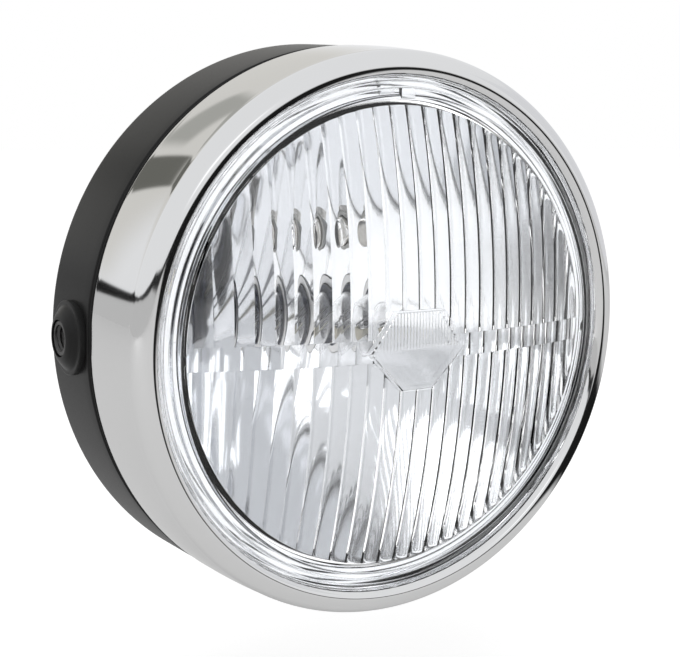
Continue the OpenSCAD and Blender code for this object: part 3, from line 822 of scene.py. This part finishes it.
    def inside(self) -> tuple[list[np.ndarray], np.ndarray]:
        """Works out the fluted inside: upright flutes, a middle row set over, and a smooth plate.

        A point lies at the depth centre - sqrt(f(x)^2 - z^2), with f the flutes'
        radius. Up each column come plain flutes, the middle row, the back of the
        plate, the middle row and plain flutes, and where two of them meet at
        different depths a riser joins them.

        Returns:
            The grids of points, from the lowest up, and the columns' x values.
        """
        count = int(0.9 * self.field / self.pitch)
        middle = np.linspace(0.0, count * self.pitch, count * 10 + 1)
        corners = np.array([self.foot_half, self.edge_half, self.plate_half])
        x = self.half_columns(np.union1d(middle, corners), self.field, 1.0)
        side = np.abs(x)
        height = np.sqrt(np.maximum(self.field**2 - x**2, 0.0))
        plain = self.flute(x, 0.0, self.depth)
        moved = self.flute(x, self.row_shift * self.pitch, self.row_depth)
        smooth = np.where(side < self.plate_half, self.flute(x, 0.0, 0.0) - self.plate_sink, moved)
        top = np.clip(self.plate_edge(side, self.edge_half, self.plate_top), -height, height)
        foot = np.clip(self.plate_edge(side, self.foot_half, -self.plate_bottom), -height, height)
        row_top = np.maximum(top, np.minimum(self.row_top, height))
        row_foot = np.minimum(foot, np.maximum(-self.row_bottom, -height))
        zones = [
            (-height, row_foot, plain, 26), (row_foot, foot, moved, 4), (foot, top, smooth, 14),
            (top, row_top, moved, 4), (row_top, height, plain, 26),
        ]
        grids: list[np.ndarray] = []
        for start, end, f, steps in zones:
            z = run(start, end, steps)
            back = self.centre - np.sqrt(f[:, None] ** 2 - z**2)
            grid = np.stack([np.broadcast_to(x[:, None], z.shape), back - SIDE_BACK, z], axis=-1)
            if grids:
                grids.append(np.stack([grids[-1][:, -1], grid[:, 0]], axis=1))
            grids.append(grid)
        return grids, x

    def build(self, finishes: Finishes) -> None:
        """Makes the glass as one closed surface and dresses its seal.

        Args:
            finishes: the lamp's finishes.
        """
        surface = Surface()
        dome, x_front = self.front()
        surface.add_grid(dome)
        ring = self.outline(x_front, self.dome)
        corners = [(self.dome, self.dome_back)]
        for k in range(self.steps - 1, -1, -1):
            r, back = self.first_step - k * (self.tread + self.slope), self.lip_back - k * self.riser
            corners += [(r - self.slope, back - self.riser), (r, back)]
        corners += [(self.outer_edge, self.lip_back), (self.outer_edge, self.rear), (self.bore, self.rear)]
        surface.add_turned(rounded(corners, 0.35, 4), ring)
        grids, x_rear = self.inside()
        for grid in grids:
            surface.add_grid(grid)
        inner_ring = self.outline(x_rear, self.field)
        mouth = self.field + self.draft
        surface.add_zip(ring, inner_ring, self.bore, mouth, self.rear)
        wall = line((mouth, self.rear), (self.field, self.dome_back + self.glass), 3)
        surface.add_turned(wall, inner_ring)
        edge = np.concatenate([grids[-1][::-1, -1], grids[0][1:-1, 0]])
        wall_top = turned(np.array([[self.field, self.dome_back + self.glass]]), inner_ring)[:, 0]
        surface.add_grid(np.stack([wall_top, edge], axis=1), wrap_u=True)
        glass = boolean(surface.mesh("lens_pressed", Edge.FINE), self.tab(), Step.JOIN, Edge.FINE)
        place(glass, finishes.glass, "lens_glass", "lens")
        dress(finishes.pale_rubber, "lens_seal")

    def tab(self) -> bpy.types.Mesh:
        """Makes the small locating block that stands on the steps at the top of the lens.

        A rounded outline is carried across X and drawn in towards its middle at both ends.

        Returns:
            A closed block with eased edges.
        """
        front = self.dome_back - self.tab_out
        low = self.dome + self.tab_from
        rear, high = front + self.tab_thick, low + self.tab_height
        seam = (rear, low + 1.0)
        loop = rounded([seam, (rear, low), (front, low), (front, high), (rear, high), seam], 0.3, 3)
        middle = np.array([(front + rear) / 2, (low + high) / 2])
        half, ease = self.tab_width / 2, self.tab_width / 2 - 0.25
        x = np.array([-half, -half, -half, -ease, ease, half, half, half])
        scale = np.array([0.0, 0.8, 0.92, 1.0, 1.0, 0.92, 0.8, 0.0])
        across = middle + (loop - middle) * scale[:, None, None]
        wide = np.broadcast_to(x[:, None], across.shape[:2])
        grid = np.stack([wide, across[..., 0] - SIDE_BACK, across[..., 1]], axis=-1)
        surface = Surface()
        surface.add_grid(grid)
        return surface.mesh("tab")


@dataclass
class Reflector:
    """The bright bowl behind the glass, with a collar round the lens and a hole for the small bulb."""

    focal: float = 26.0
    sheet: float = 1.0
    collar: float = 3.4
    neck: float = 13.0
    bowl: float = 70.1
    seal_rear: float = 3.6
    outer: float = 81.5
    hole: float = 6.5
    hole_up: float = 28.0
    drill: float = 9.0
    around: int = 288

    def vertex(self) -> float:
        """Gives the depth at which the bowl would close."""
        return self.seal_rear + self.bowl**2 / (4 * self.focal)

    def depth_at(self, r: np.ndarray) -> np.ndarray:
        """Gives the bowl's depth at a radius: vertex - r^2 / (4 focal)."""
        return self.vertex() - r**2 / (4 * self.focal)

    def build(self, finishes: Finishes) -> None:
        """Makes the bowl and cuts the small bulb's hole.

        Args:
            finishes: the lamp's finishes.
        """
        r = np.linspace(self.neck, self.bowl, 110)
        front = np.stack([r, self.depth_at(r)], axis=1)
        thick = self.sheet * np.sqrt(1 + (r / (2 * self.focal)) ** 2)
        rear = np.stack([r, self.depth_at(r) + thick], axis=1)[::-1]
        inside, seal = self.outer - self.sheet, self.seal_rear
        collar = rounded([
            (self.bowl, seal), (inside, seal), (inside, seal - self.collar),
            (self.outer, seal - self.collar), (self.outer, seal + self.sheet),
            (self.bowl + 0.9, seal + self.sheet),
        ], 0.4)[1:]
        profile = np.concatenate([front, collar, rear])
        bowl = turned_mesh("reflector_bowl", profile, self.around, closed=True)
        level = self.vertex() - self.hole_up**2 / (4 * self.focal)
        bar = plug(self.hole, level - self.drill, level + self.drill)
        bowl = boolean(bowl, turned_mesh("hole", bar, 64, lift=self.hole_up), Step.CUT)
        place(bowl, finishes.mirror, "mirror_coat", "reflector")


@dataclass
class Bulbs:
    """The main bulb with its seat and wiring block, and the small bulb over it."""

    seat_back: float = 53.85
    cap: float = 8.0
    length: float = 35.0
    radius: float = 8.5
    nose: float = 6.0
    wall: float = 1.0

    def build(self, finishes: Finishes) -> None:
        """Makes the main bulb's glass and dresses the rest.

        Args:
            finishes: the lamp's finishes.
        """
        tip = self.seat_back - self.cap - self.length
        rear = self.seat_back - self.cap + 2.4
        at, middle = self.radius - self.nose, tip + self.nose
        profile = np.concatenate([
            [[0.0, tip]],
            arc(at, middle, self.nose, 90, 0, 12),
            line((self.radius, middle + 1), (self.radius, rear), 6),
            line((self.radius - self.wall, rear), (self.radius - self.wall, middle), 6),
            arc(at, middle, self.nose - self.wall, 0, 90, 10),
            [[0.0, tip + self.wall]],
        ])
        place(turned_mesh("bulb_envelope", profile), finishes.bulb, "bulb_glass_clear", "bulb_glass")
        dress(finishes.zinc, "bulb_seat", "seat_rivets")
        dress(finishes.spring, "bulb_clip")
        dress(finishes.cream, "bulb_shield", "connector")
        dress(finishes.wire, "bulb_filaments")
        dress(finishes.cap, "bulb_cap")
        dress(finishes.base, "bulb_base")
        dress(finishes.brass, "bulb_contacts", "parking_contact")
        dress(finishes.rubber, "rubber_boot")
        dress(finishes.pale_rubber, "parking_holder")
        dress(finishes.bulb, "parking_bulb_glass")
        dress(finishes.nickel, "parking_bulb_cap")


@dataclass
class SideNut:
    """A long nut with a hexagonal head inside the shell and a threaded sleeve out to the nub."""

    side: Axis
    node: str
    head_from: float = 74.4
    head: float = 4.0
    across: float = 16.0
    sleeve: float = 5.2
    end: float = 90.1
    core: float = 3.4
    thread: float = 0.6
    pitch: float = 1.25
    chamfer: float = 0.6
    lead_in: float = 0.8
    ease: float = 0.2
    around: int = 72

    def build(self, finishes: Finishes) -> None:
        """Makes the nut with a real thread.

        The bore's radius is core + thread w, where w is a triangle wave of the place
        along the axis less the share of a turn, which makes one helical groove. The
        head's radius is half its width over the cosine of the angle from the
        nearest flat's middle.

        Args:
            finishes: the lamp's finishes.
        """
        angle = np.linspace(0.0, 2 * np.pi, self.around, endpoint=False)[:, None]
        along = np.linspace(self.head_from, self.end - self.chamfer, 150)[None, :]
        turn = along / self.pitch - angle / (2 * np.pi)
        wave = 1 - np.abs(2 * (turn - np.floor(turn)) - 1)
        fade = np.clip((along - self.head_from) / self.lead_in, 0.0, 1.0)
        bore = self.core + self.thread * wave * fade
        flat = self.across / 2 / np.cos((angle + np.pi / 6) % (np.pi / 3) - np.pi / 6)
        one = np.ones_like(angle)
        radii = np.concatenate([
            bore, (self.core + self.chamfer) * one, (self.sleeve - self.ease) * one, self.sleeve * one,
            self.sleeve * one, flat, flat,
        ], axis=1)
        stations = np.concatenate([
            along[0], [self.end, self.end, self.end - self.ease],
            [self.head_from + self.head, self.head_from + self.head, self.head_from],
        ])
        outward = -1.0 if self.side is Axis.LEFT else 1.0
        grid = np.stack([
            np.broadcast_to(outward * stations, radii.shape), radii * np.cos(angle), radii * np.sin(angle),
        ], axis=-1)
        surface = Surface()
        surface.add_grid(grid, wrap_u=True, wrap_v=True)
        nut = surface.mesh(self.node + "_threaded", Edge.FINE)
        place(nut, finishes.black_steel, "black_steel", self.node)


@dataclass
class Shell:
    """The moulded bucket with its spigot, its domed back and a pad and nub on each side."""

    radius: float = 87.1
    front_radius: float = 86.3
    wall: float = 2.5
    spigot: float = 82.9
    spigot_front: float = 14.5
    shoulder: float = 26.4
    groove_front: float = 24.02
    gasket_radius: float = 84.6
    side_end: float = 55.0
    bend: float = 3.6
    tilt: float = 42.0
    depth: float = 95.0
    flat: float = 24.0
    around: int = 288
    pad: float = 11.0
    pad_out: float = 88.1
    nub_top: float = 6.2
    nub_out: float = 90.5
    boss_in: float = 79.6
    bore: float = 5.5
    cable: float = 7.0
    cable_drop: float = 12.0
    drill: Pair = (70.0, 95.0)
    cable_drill: Pair = (85.0, 100.0)

    def bowl(self, wall: float) -> np.ndarray:
        """Works out the outline from the side round the bend and over the back to the axis.

        The bend is an arc; from its end a quadratic curve runs into the flat back.

        Args:
            wall: how far inside the outer surface the outline lies.

        Returns:
            An array of (radius, back) pairs.
        """
        at, back = self.radius - self.bend, self.side_end - self.bend
        corner = arc(at, back, self.bend - wall, 0, -self.tilt, 16)
        start, rear = corner[-1], self.depth - wall
        turn = start[0] - (rear - start[1]) * math.tan(math.radians(self.tilt))
        mid, flat = np.array([max(turn, self.flat - wall), rear]), np.array([self.flat - wall, rear])
        t = np.linspace(0.0, 1.0, 25)[1:, None]
        curve = (1 - t) ** 2 * start + 2 * t * (1 - t) * mid + t**2 * flat
        return np.concatenate([corner, curve, [[0.0, rear]]])

    def boss(self, axis: Axis) -> bpy.types.Mesh:
        """Makes the round pad and the domed nub on one side.

        Args:
            axis: which side.

        Returns:
            A closed turned shape.
        """
        pad, out, top, end = self.pad, self.pad_out, self.nub_top, self.nub_out
        profile = rounded([
            (0.0, self.boss_in), (pad, self.boss_in), (pad, out), (top + 3.4, out),
            (top + 2.4, out + 0.9), (top + 1.0, end - 0.5), (top - 0.2, end), (0.0, end),
        ], 0.45, 5)
        return turned_mesh("boss", profile, axis=axis)

    def gasket(self, finishes: Finishes) -> None:
        """Makes the rubber ring in the groove, whose lip lies on the shell's front edge.

        Args:
            finishes: the lamp's finishes.
        """
        inside, outside = self.spigot + 0.02, self.front_radius - 0.35
        front, rear = self.groove_front, self.shoulder - 0.02
        loop = rounded([
            (inside, rear), (inside, front), (self.gasket_radius, front),
            (self.gasket_radius, self.shoulder - 1.6), (outside, self.shoulder - 1.0),
            (outside, rear), (inside, rear),
        ], 0.25, 3)
        place(turned_mesh("gasket_ring", loop, self.around), finishes.rubber, "black_rubber", "rim_gasket")

    def build(self, finishes: Finishes) -> None:
        """Makes the shell with its bosses, cuts its holes and dresses what it holds.

        Args:
            finishes: the lamp's finishes.
        """
        inner = self.bowl(self.wall)
        outside = rounded([
            (self.spigot - self.wall, self.spigot_front), (self.spigot, self.spigot_front),
            (self.spigot, self.shoulder), (self.front_radius, self.shoulder),
            (self.front_radius + 0.16, self.shoulder + 5),
        ], 0.7, 5)
        profile = np.concatenate([
            outside, self.bowl(0.0), inner[::-1],
            [(self.front_radius - self.wall, self.shoulder + self.wall + 0.8),
             (self.spigot - self.wall, self.shoulder + self.wall)],
            outside[:1],
        ])
        body = turned_mesh("shell_moulded", profile, self.around)
        sides = (Axis.LEFT, Axis.RIGHT)
        for axis in sides:
            body = boolean(body, self.boss(axis), Step.JOIN)
        for axis in sides:
            body = boolean(body, turned_mesh("bore", plug(self.bore, *self.drill), axis=axis), Step.CUT)
        hole = turned_mesh("cable_hole", plug(self.cable, *self.cable_drill), 64, lift=-self.cable_drop)
        body = boolean(body, hole, Step.CUT)
        place(body, finishes.shell, "shell_black", "shell")
        self.gasket(finishes)
        dress(finishes.rubber, "cable_grommet")
        dress(finishes.zinc, "side_washer_left", "side_washer_right")
        for nut in (SideNut(Axis.LEFT, "side_nut_left"), SideNut(Axis.RIGHT, "side_nut_right")):
            nut.build(finishes)


# The studio


def heading(azimuth: np.ndarray, elevation: np.ndarray) -> np.ndarray:
    """Turns directions into unit vectors: (sin a cos e, -cos a cos e, sin e)."""
    return np.stack([
        np.sin(azimuth) * np.cos(elevation), -np.cos(azimuth) * np.cos(elevation), np.sin(elevation),
    ], axis=-1)


@dataclass(frozen=True)
class Skyline:
    """The dark strip that bright surfaces show between the table and the backdrop.

    Its knots are (azimuth, elevation, half height) in degrees, seen from a place on
    the rim's left. Under the strip the table's grey goes on down to the floor.
    """

    eye: Triple = (-0.05, -0.04, 0.01)
    distance: float = 2.9
    table: float = -0.132
    foot: float = -4.0
    dark: float = 0.012
    grey: float = 0.56
    soft: float = 0.35
    around: int = 241
    knots: tuple[Triple, ...] = (
        (-180.0, -0.5, 1.3), (-155.0, 1.5, 1.5), (-143.0, 2.8, 1.2), (-120.0, 6.0, 0.8), (-90.0, 8.0, 0.8),
        (-60.0, 8.0, 1.6), (-30.0, 6.5, 2.2), (0.0, -1.0, 2.0), (12.0, -2.0, 1.2), (20.0, -4.0, 3.5),
        (30.0, -8.0, 6.0), (45.0, -14.0, 7.0), (60.0, -19.0, 8.0), (90.0, -22.0, 8.0), (120.0, -20.0, 8.0),
        (145.0, -11.0, 5.0), (165.0, -4.0, 1.5), (180.0, -0.5, 1.3),
    )

    def build(self) -> bpy.types.Object:
        """Makes the strip.

        A point lies at the eye plus a distance times the heading of its azimuth and
        elevation; the distance is cut short where it would reach under the table.

        Returns:
            The strip, as a part of the stage.
        """
        degrees = np.linspace(-180.0, 180.0, self.around)
        at, level, thick = np.array(self.knots).T
        middle, half = np.interp(degrees, at, level), np.interp(degrees, at, thick)
        core = half * (1 - self.soft)
        foot = np.minimum(self.foot, middle - half)
        rows = [foot, middle - half, middle - core, middle + core, middle + half]
        elevation = np.radians(np.stack(rows, axis=1))
        azimuth = np.broadcast_to(np.radians(degrees)[:, None], elevation.shape)
        drop = np.maximum(-np.sin(elevation), 1e-4)
        reach = np.minimum(self.distance, (self.eye[2] - self.table) / drop)
        points = np.array(self.eye) + reach[..., None] * heading(azimuth, elevation)
        number = np.arange(elevation.size).reshape(elevation.shape)
        corners = [number[:-1, :-1], number[1:, :-1], number[1:, 1:], number[:-1, 1:]]
        faces = np.stack(corners, axis=-1).reshape(-1, 4)
        mesh = bpy.data.meshes.new("skyline")
        mesh.from_pydata(points.reshape(-1, 3).tolist(), [], faces.tolist())
        tones = [self.grey] * 2 + [self.dark] * 3
        for name, values in (("cover", [1.0] * 4 + [0.0]), ("tone", tones)):
            layer = mesh.attributes.new(name, "FLOAT", "POINT")
            layer.data.foreach_set("value", np.tile(values, self.around))
        material = bpy.data.materials.new("skyline")
        wiring = Wiring(material)
        glow, mix = wiring.fading_glow()
        cover = wiring.add("Attribute", attribute_name="cover")
        tone = wiring.add("Attribute", attribute_name="tone")
        wiring.join((cover, "Fac", mix, "Fac"), (tone, "Fac", glow, "Color"))
        mesh.materials.append(material)
        strip = put("skyline", mesh)
        hide_from_view(strip)
        strip.visible_transmission = False
        return strip


def hide_from_view(piece: bpy.types.Object) -> None:
    """Leaves a stage piece to the glossy and refracted rays alone.

    Args:
        piece: the card or strip.
    """
    piece.visible_camera = False
    piece.visible_diffuse = False
    piece.visible_shadow = False


def sheet(
    name: str, wide: float, high: float, level: float, material: bpy.types.Material
) -> bpy.types.Object:
    """Makes a level rectangle and puts it into the scene.

    Args:
        name: name of the object.
        wide: half its width.
        high: half its height.
        level: its height over the origin.
        material: its material.

    Returns:
        The new object.
    """
    mesh = bpy.data.meshes.new(name)
    corners = [(-wide, -high, level), (wide, -high, level), (wide, high, level), (-wide, high, level)]
    mesh.from_pydata(corners, [], [(0, 1, 2, 3)])
    mesh.materials.append(material)
    return put(name, mesh)


@dataclass(frozen=True)
class Card:
    """A flat card that only the bright surfaces see.

    It hangs in the direction (azimuth, elevation) in degrees, where azimuth 0 is in
    front of the lamp and 90 is to its right.
    """

    name: str
    towards: Pair
    width: float
    height: float
    shade: float
    tint: Triple = (1.0, 1.0, 0.97)
    turn: float = 0.0
    soft: float = 0.25
    distance: float = 3.0

    def build(self) -> bpy.types.Object:
        """Makes the card, facing the lamp, with edges that fade out.

        Returns:
            The card, as a part of the stage.
        """
        wide, high = self.width / 2, self.height / 2
        material = bpy.data.materials.new(self.name)
        wiring = Wiring(material)
        glow, mix = wiring.fading_glow()
        glow.inputs["Color"].default_value = (*(self.shade * part for part in self.tint), 1.0)
        place_at, parts = wiring.add("TexCoord"), wiring.add("SeparateXYZ")
        both = wiring.add("Math", operation="MULTIPLY")
        wiring.join((place_at, "Object", parts, "Vector"), (both, 0, mix, "Fac"))
        for number, (axis, half) in enumerate((("X", wide), ("Y", high))):
            size = wiring.add("Math", operation="ABSOLUTE")
            span = {"From Min": half, "From Max": half * (1 - self.soft)}
            fade = wiring.add("MapRange", span, interpolation_type="SMOOTHSTEP")
            wiring.join((parts, axis, size, 0), (size, 0, fade, "Value"), (fade, "Result", both, number))
        card = sheet(self.name, wide, high, 0.0, material)
        way = Vector(heading(*np.radians(self.towards)))
        card.matrix_world = (
            Matrix.Translation(way * self.distance)
            @ (-way).to_track_quat("Z", "Y").to_matrix().to_4x4()
            @ Matrix.Rotation(math.radians(self.turn), 4, "Z")
        )
        hide_from_view(card)
        return card


@dataclass
class Studio:
    """A pale floor, a white backdrop, soft lamps and a few cards."""

    fill: float = 0.62
    mirrored: tuple[float, float, float, float] = (0.865, 0.873, 0.885, 1.0)
    floor_level: float = -0.135
    floor_half: float = 4.0
    floor_tones: Pair = (0.50, 0.52)
    floor_glow: float = 0.68
    floor_sheen: float = 0.22
    cards: tuple[Card, ...] = (
        Card("wall_warm", (180.0, 22.0), 4.4, 2.6, 0.71, tint=(1.0, 0.985, 0.94), soft=0.4, distance=3.2),
        Card("patch_olive", (-162.0, 24.5), 0.95, 0.5, 0.15, tint=(1.0, 1.0, 0.9), turn=-50.0, soft=0.25),
        Card("patch_grey", (-176.0, 33.0), 1.0, 0.5, 0.42, tint=(1.0, 1.0, 0.94), turn=35.0, soft=0.4),
        Card("patch_low", (166.0, -33.0), 0.2, 0.15, 0.06, soft=0.7, distance=0.24),
        Card("glow_right", (90.0, 12.0), 5.2, 2.4, 0.8, tint=(0.98, 0.99, 1.02), soft=0.3),
        Card("glow_strip", (4.0, 17.0), 0.8, 0.35, 1.25, tint=(0.99, 0.995, 1.01), soft=0.6, distance=1.6),
    )

    def world(self) -> None:
        """Lights the scene evenly, and shows white to the camera, to gloss and through glass."""
        world = bpy.data.worlds.new("studio")
        bpy.context.scene.world = world
        wiring = Wiring(world)
        light = wiring.add("Background", {"Color": WHITE, "Strength": self.fill})
        seen = wiring.add("Background", {"Color": WHITE, "Strength": 1.0})
        bright = wiring.add("Background", {"Color": self.mirrored, "Strength": 1.0})
        path, gloss = wiring.add("LightPath"), wiring.add("Math", operation="MAXIMUM")
        first, second = wiring.add("MixShader"), wiring.add("MixShader")
        out = wiring.add("OutputWorld")
        wiring.join(
            (path, "Is Glossy Ray", gloss, 0), (path, "Is Transmission Ray", gloss, 1),
            (gloss, 0, first, "Fac"), (light, 0, first, 1), (bright, 0, first, 2),
            (path, "Is Camera Ray", second, "Fac"), (first, 0, second, 1), (seen, 0, second, 2),
            (second, 0, out, "Surface"),
        )

    def floor(self) -> None:
        """Lays a pale floor that fades into the backdrop and keeps the lamp's soft shadow."""
        material = bpy.data.materials.new("pale_floor")
        wiring = Wiring(material, bare=False)
        shader = wiring.surface({"Roughness": 0.9, "Specular IOR Level": 0.1, "Emission Color": WHITE})
        place_at, noise = wiring.add("TexCoord"), wiring.add("TexNoise", {"Scale": 3.0})
        low, high = ((grey, grey, grey, 1.0) for grey in self.floor_tones)
        tone = wiring.add("Mix", {"A": low, "B": high}, data_type="RGBA")
        path, seen = wiring.add("LightPath"), wiring.add("Math", operation="MAXIMUM")
        glow = wiring.add("Math", {1: self.floor_glow}, operation="MULTIPLY")
        sheen = wiring.add("Math", {1: self.floor_sheen}, operation="MULTIPLY_ADD")
        wiring.join(
            (place_at, "Object", noise, "Vector"), (noise, "Fac", tone, "Factor"),
            (tone, "Result", shader, "Base Color"),
            (path, "Is Camera Ray", seen, 0), (path, "Is Transmission Ray", seen, 1),
            (seen, 0, glow, 0), (path, "Is Glossy Ray", sheen, 0), (glow, 0, sheen, 2),
            (sheen, 0, shader, "Emission Strength"),
        )
        floor = sheet("floor", self.floor_half, self.floor_half, self.floor_level, material)

    def lamp(self, name: str, at: Triple, size: float, power: float) -> None:
        """Hangs one soft square lamp that faces the headlight.

        Args:
            name: name of the lamp.
            at: its place in metres.
            size: length of its side in metres.
            power: its power in watts.
        """
        light = bpy.data.lights.new(name, "AREA")
        light.size = size
        light.energy = power
        lamp = put(name, light)
        lamp.location = at
        lamp.visible_glossy = False
        lamp.rotation_euler = Vector(at).to_track_quat("Z", "Y").to_euler()

    def build(self) -> None:
        """Sets up the whole studio."""
        self.world()
        self.floor()
        self.lamp("lamp_top", (-0.5, -0.6, 1.6), 1.2, 9.0)
        self.lamp("lamp_left", (-1.7, -0.6, 0.6), 1.0, 6.0)
        self.lamp("lamp_right", (1.5, -1.2, 0.8), 1.0, 5.0)
        Skyline().build()
        for card in self.cards:
            card.build()
            log.info("%s: part of the stage", card.name)


@dataclass(frozen=True)
class Viewpoint:
    """The photograph's camera: its angles, distance, focal length and aim."""

    azimuth: float = -31.66
    elevation: float = 9.58
    roll: float = 1.35
    distance: float = 420.1
    focal_px: float = 1400.0
    aim_px: Pair = (51.65, 8.83)
    width_px: float = 680.0
    sensor: float = 36.0

    def build(self) -> bpy.types.Object:
        """Makes the camera.

        The view's back vector is (sin a cos e, -cos a cos e, sin e); its right and up
        vectors are turned by the roll, and the aim moves the camera across them.

        Returns:
            The camera, set as the scene's.
        """
        a, e, r = (math.radians(v) for v in (self.azimuth, self.elevation, self.roll))
        back = Vector((math.sin(a) * math.cos(e), -math.cos(a) * math.cos(e), math.sin(e)))
        right = Vector((math.cos(a), math.sin(a), 0.0))
        up = back.cross(right)
        right, up = math.cos(r) * right + math.sin(r) * up, math.cos(r) * up - math.sin(r) * right
        scale = self.distance / self.focal_px
        spot = Vector((0.0, -SIDE_BACK, 0.0)) + self.distance * back
        spot = spot - self.aim_px[0] * scale * right + self.aim_px[1] * scale * up
        data = bpy.data.cameras.new("camera")
        data.sensor_width = self.sensor
        data.lens = self.focal_px / self.width_px * self.sensor
        data.clip_start = 0.01
        data.clip_end = 50.0
        camera = put("camera", data)
        axes = Matrix((right, up, back)).transposed().to_4x4()
        camera.matrix_world = Matrix.Translation(spot * MM) @ axes
        bpy.context.scene.camera = camera
        return camera


def main() -> None:
    """Builds the lamp, the studio and the camera."""
    logging.basicConfig(level=logging.INFO, format="%(name)s %(message)s")
    bpy.context.scene.view_settings.view_transform = "Standard"
    finishes = Finishes()
    for part in (Shell(), Rim(), Reflector(), Bulbs(), Lens()):
        part.build(finishes)
    Studio().build()
    Viewpoint().build()


if __name__ == "__main__":
    main()
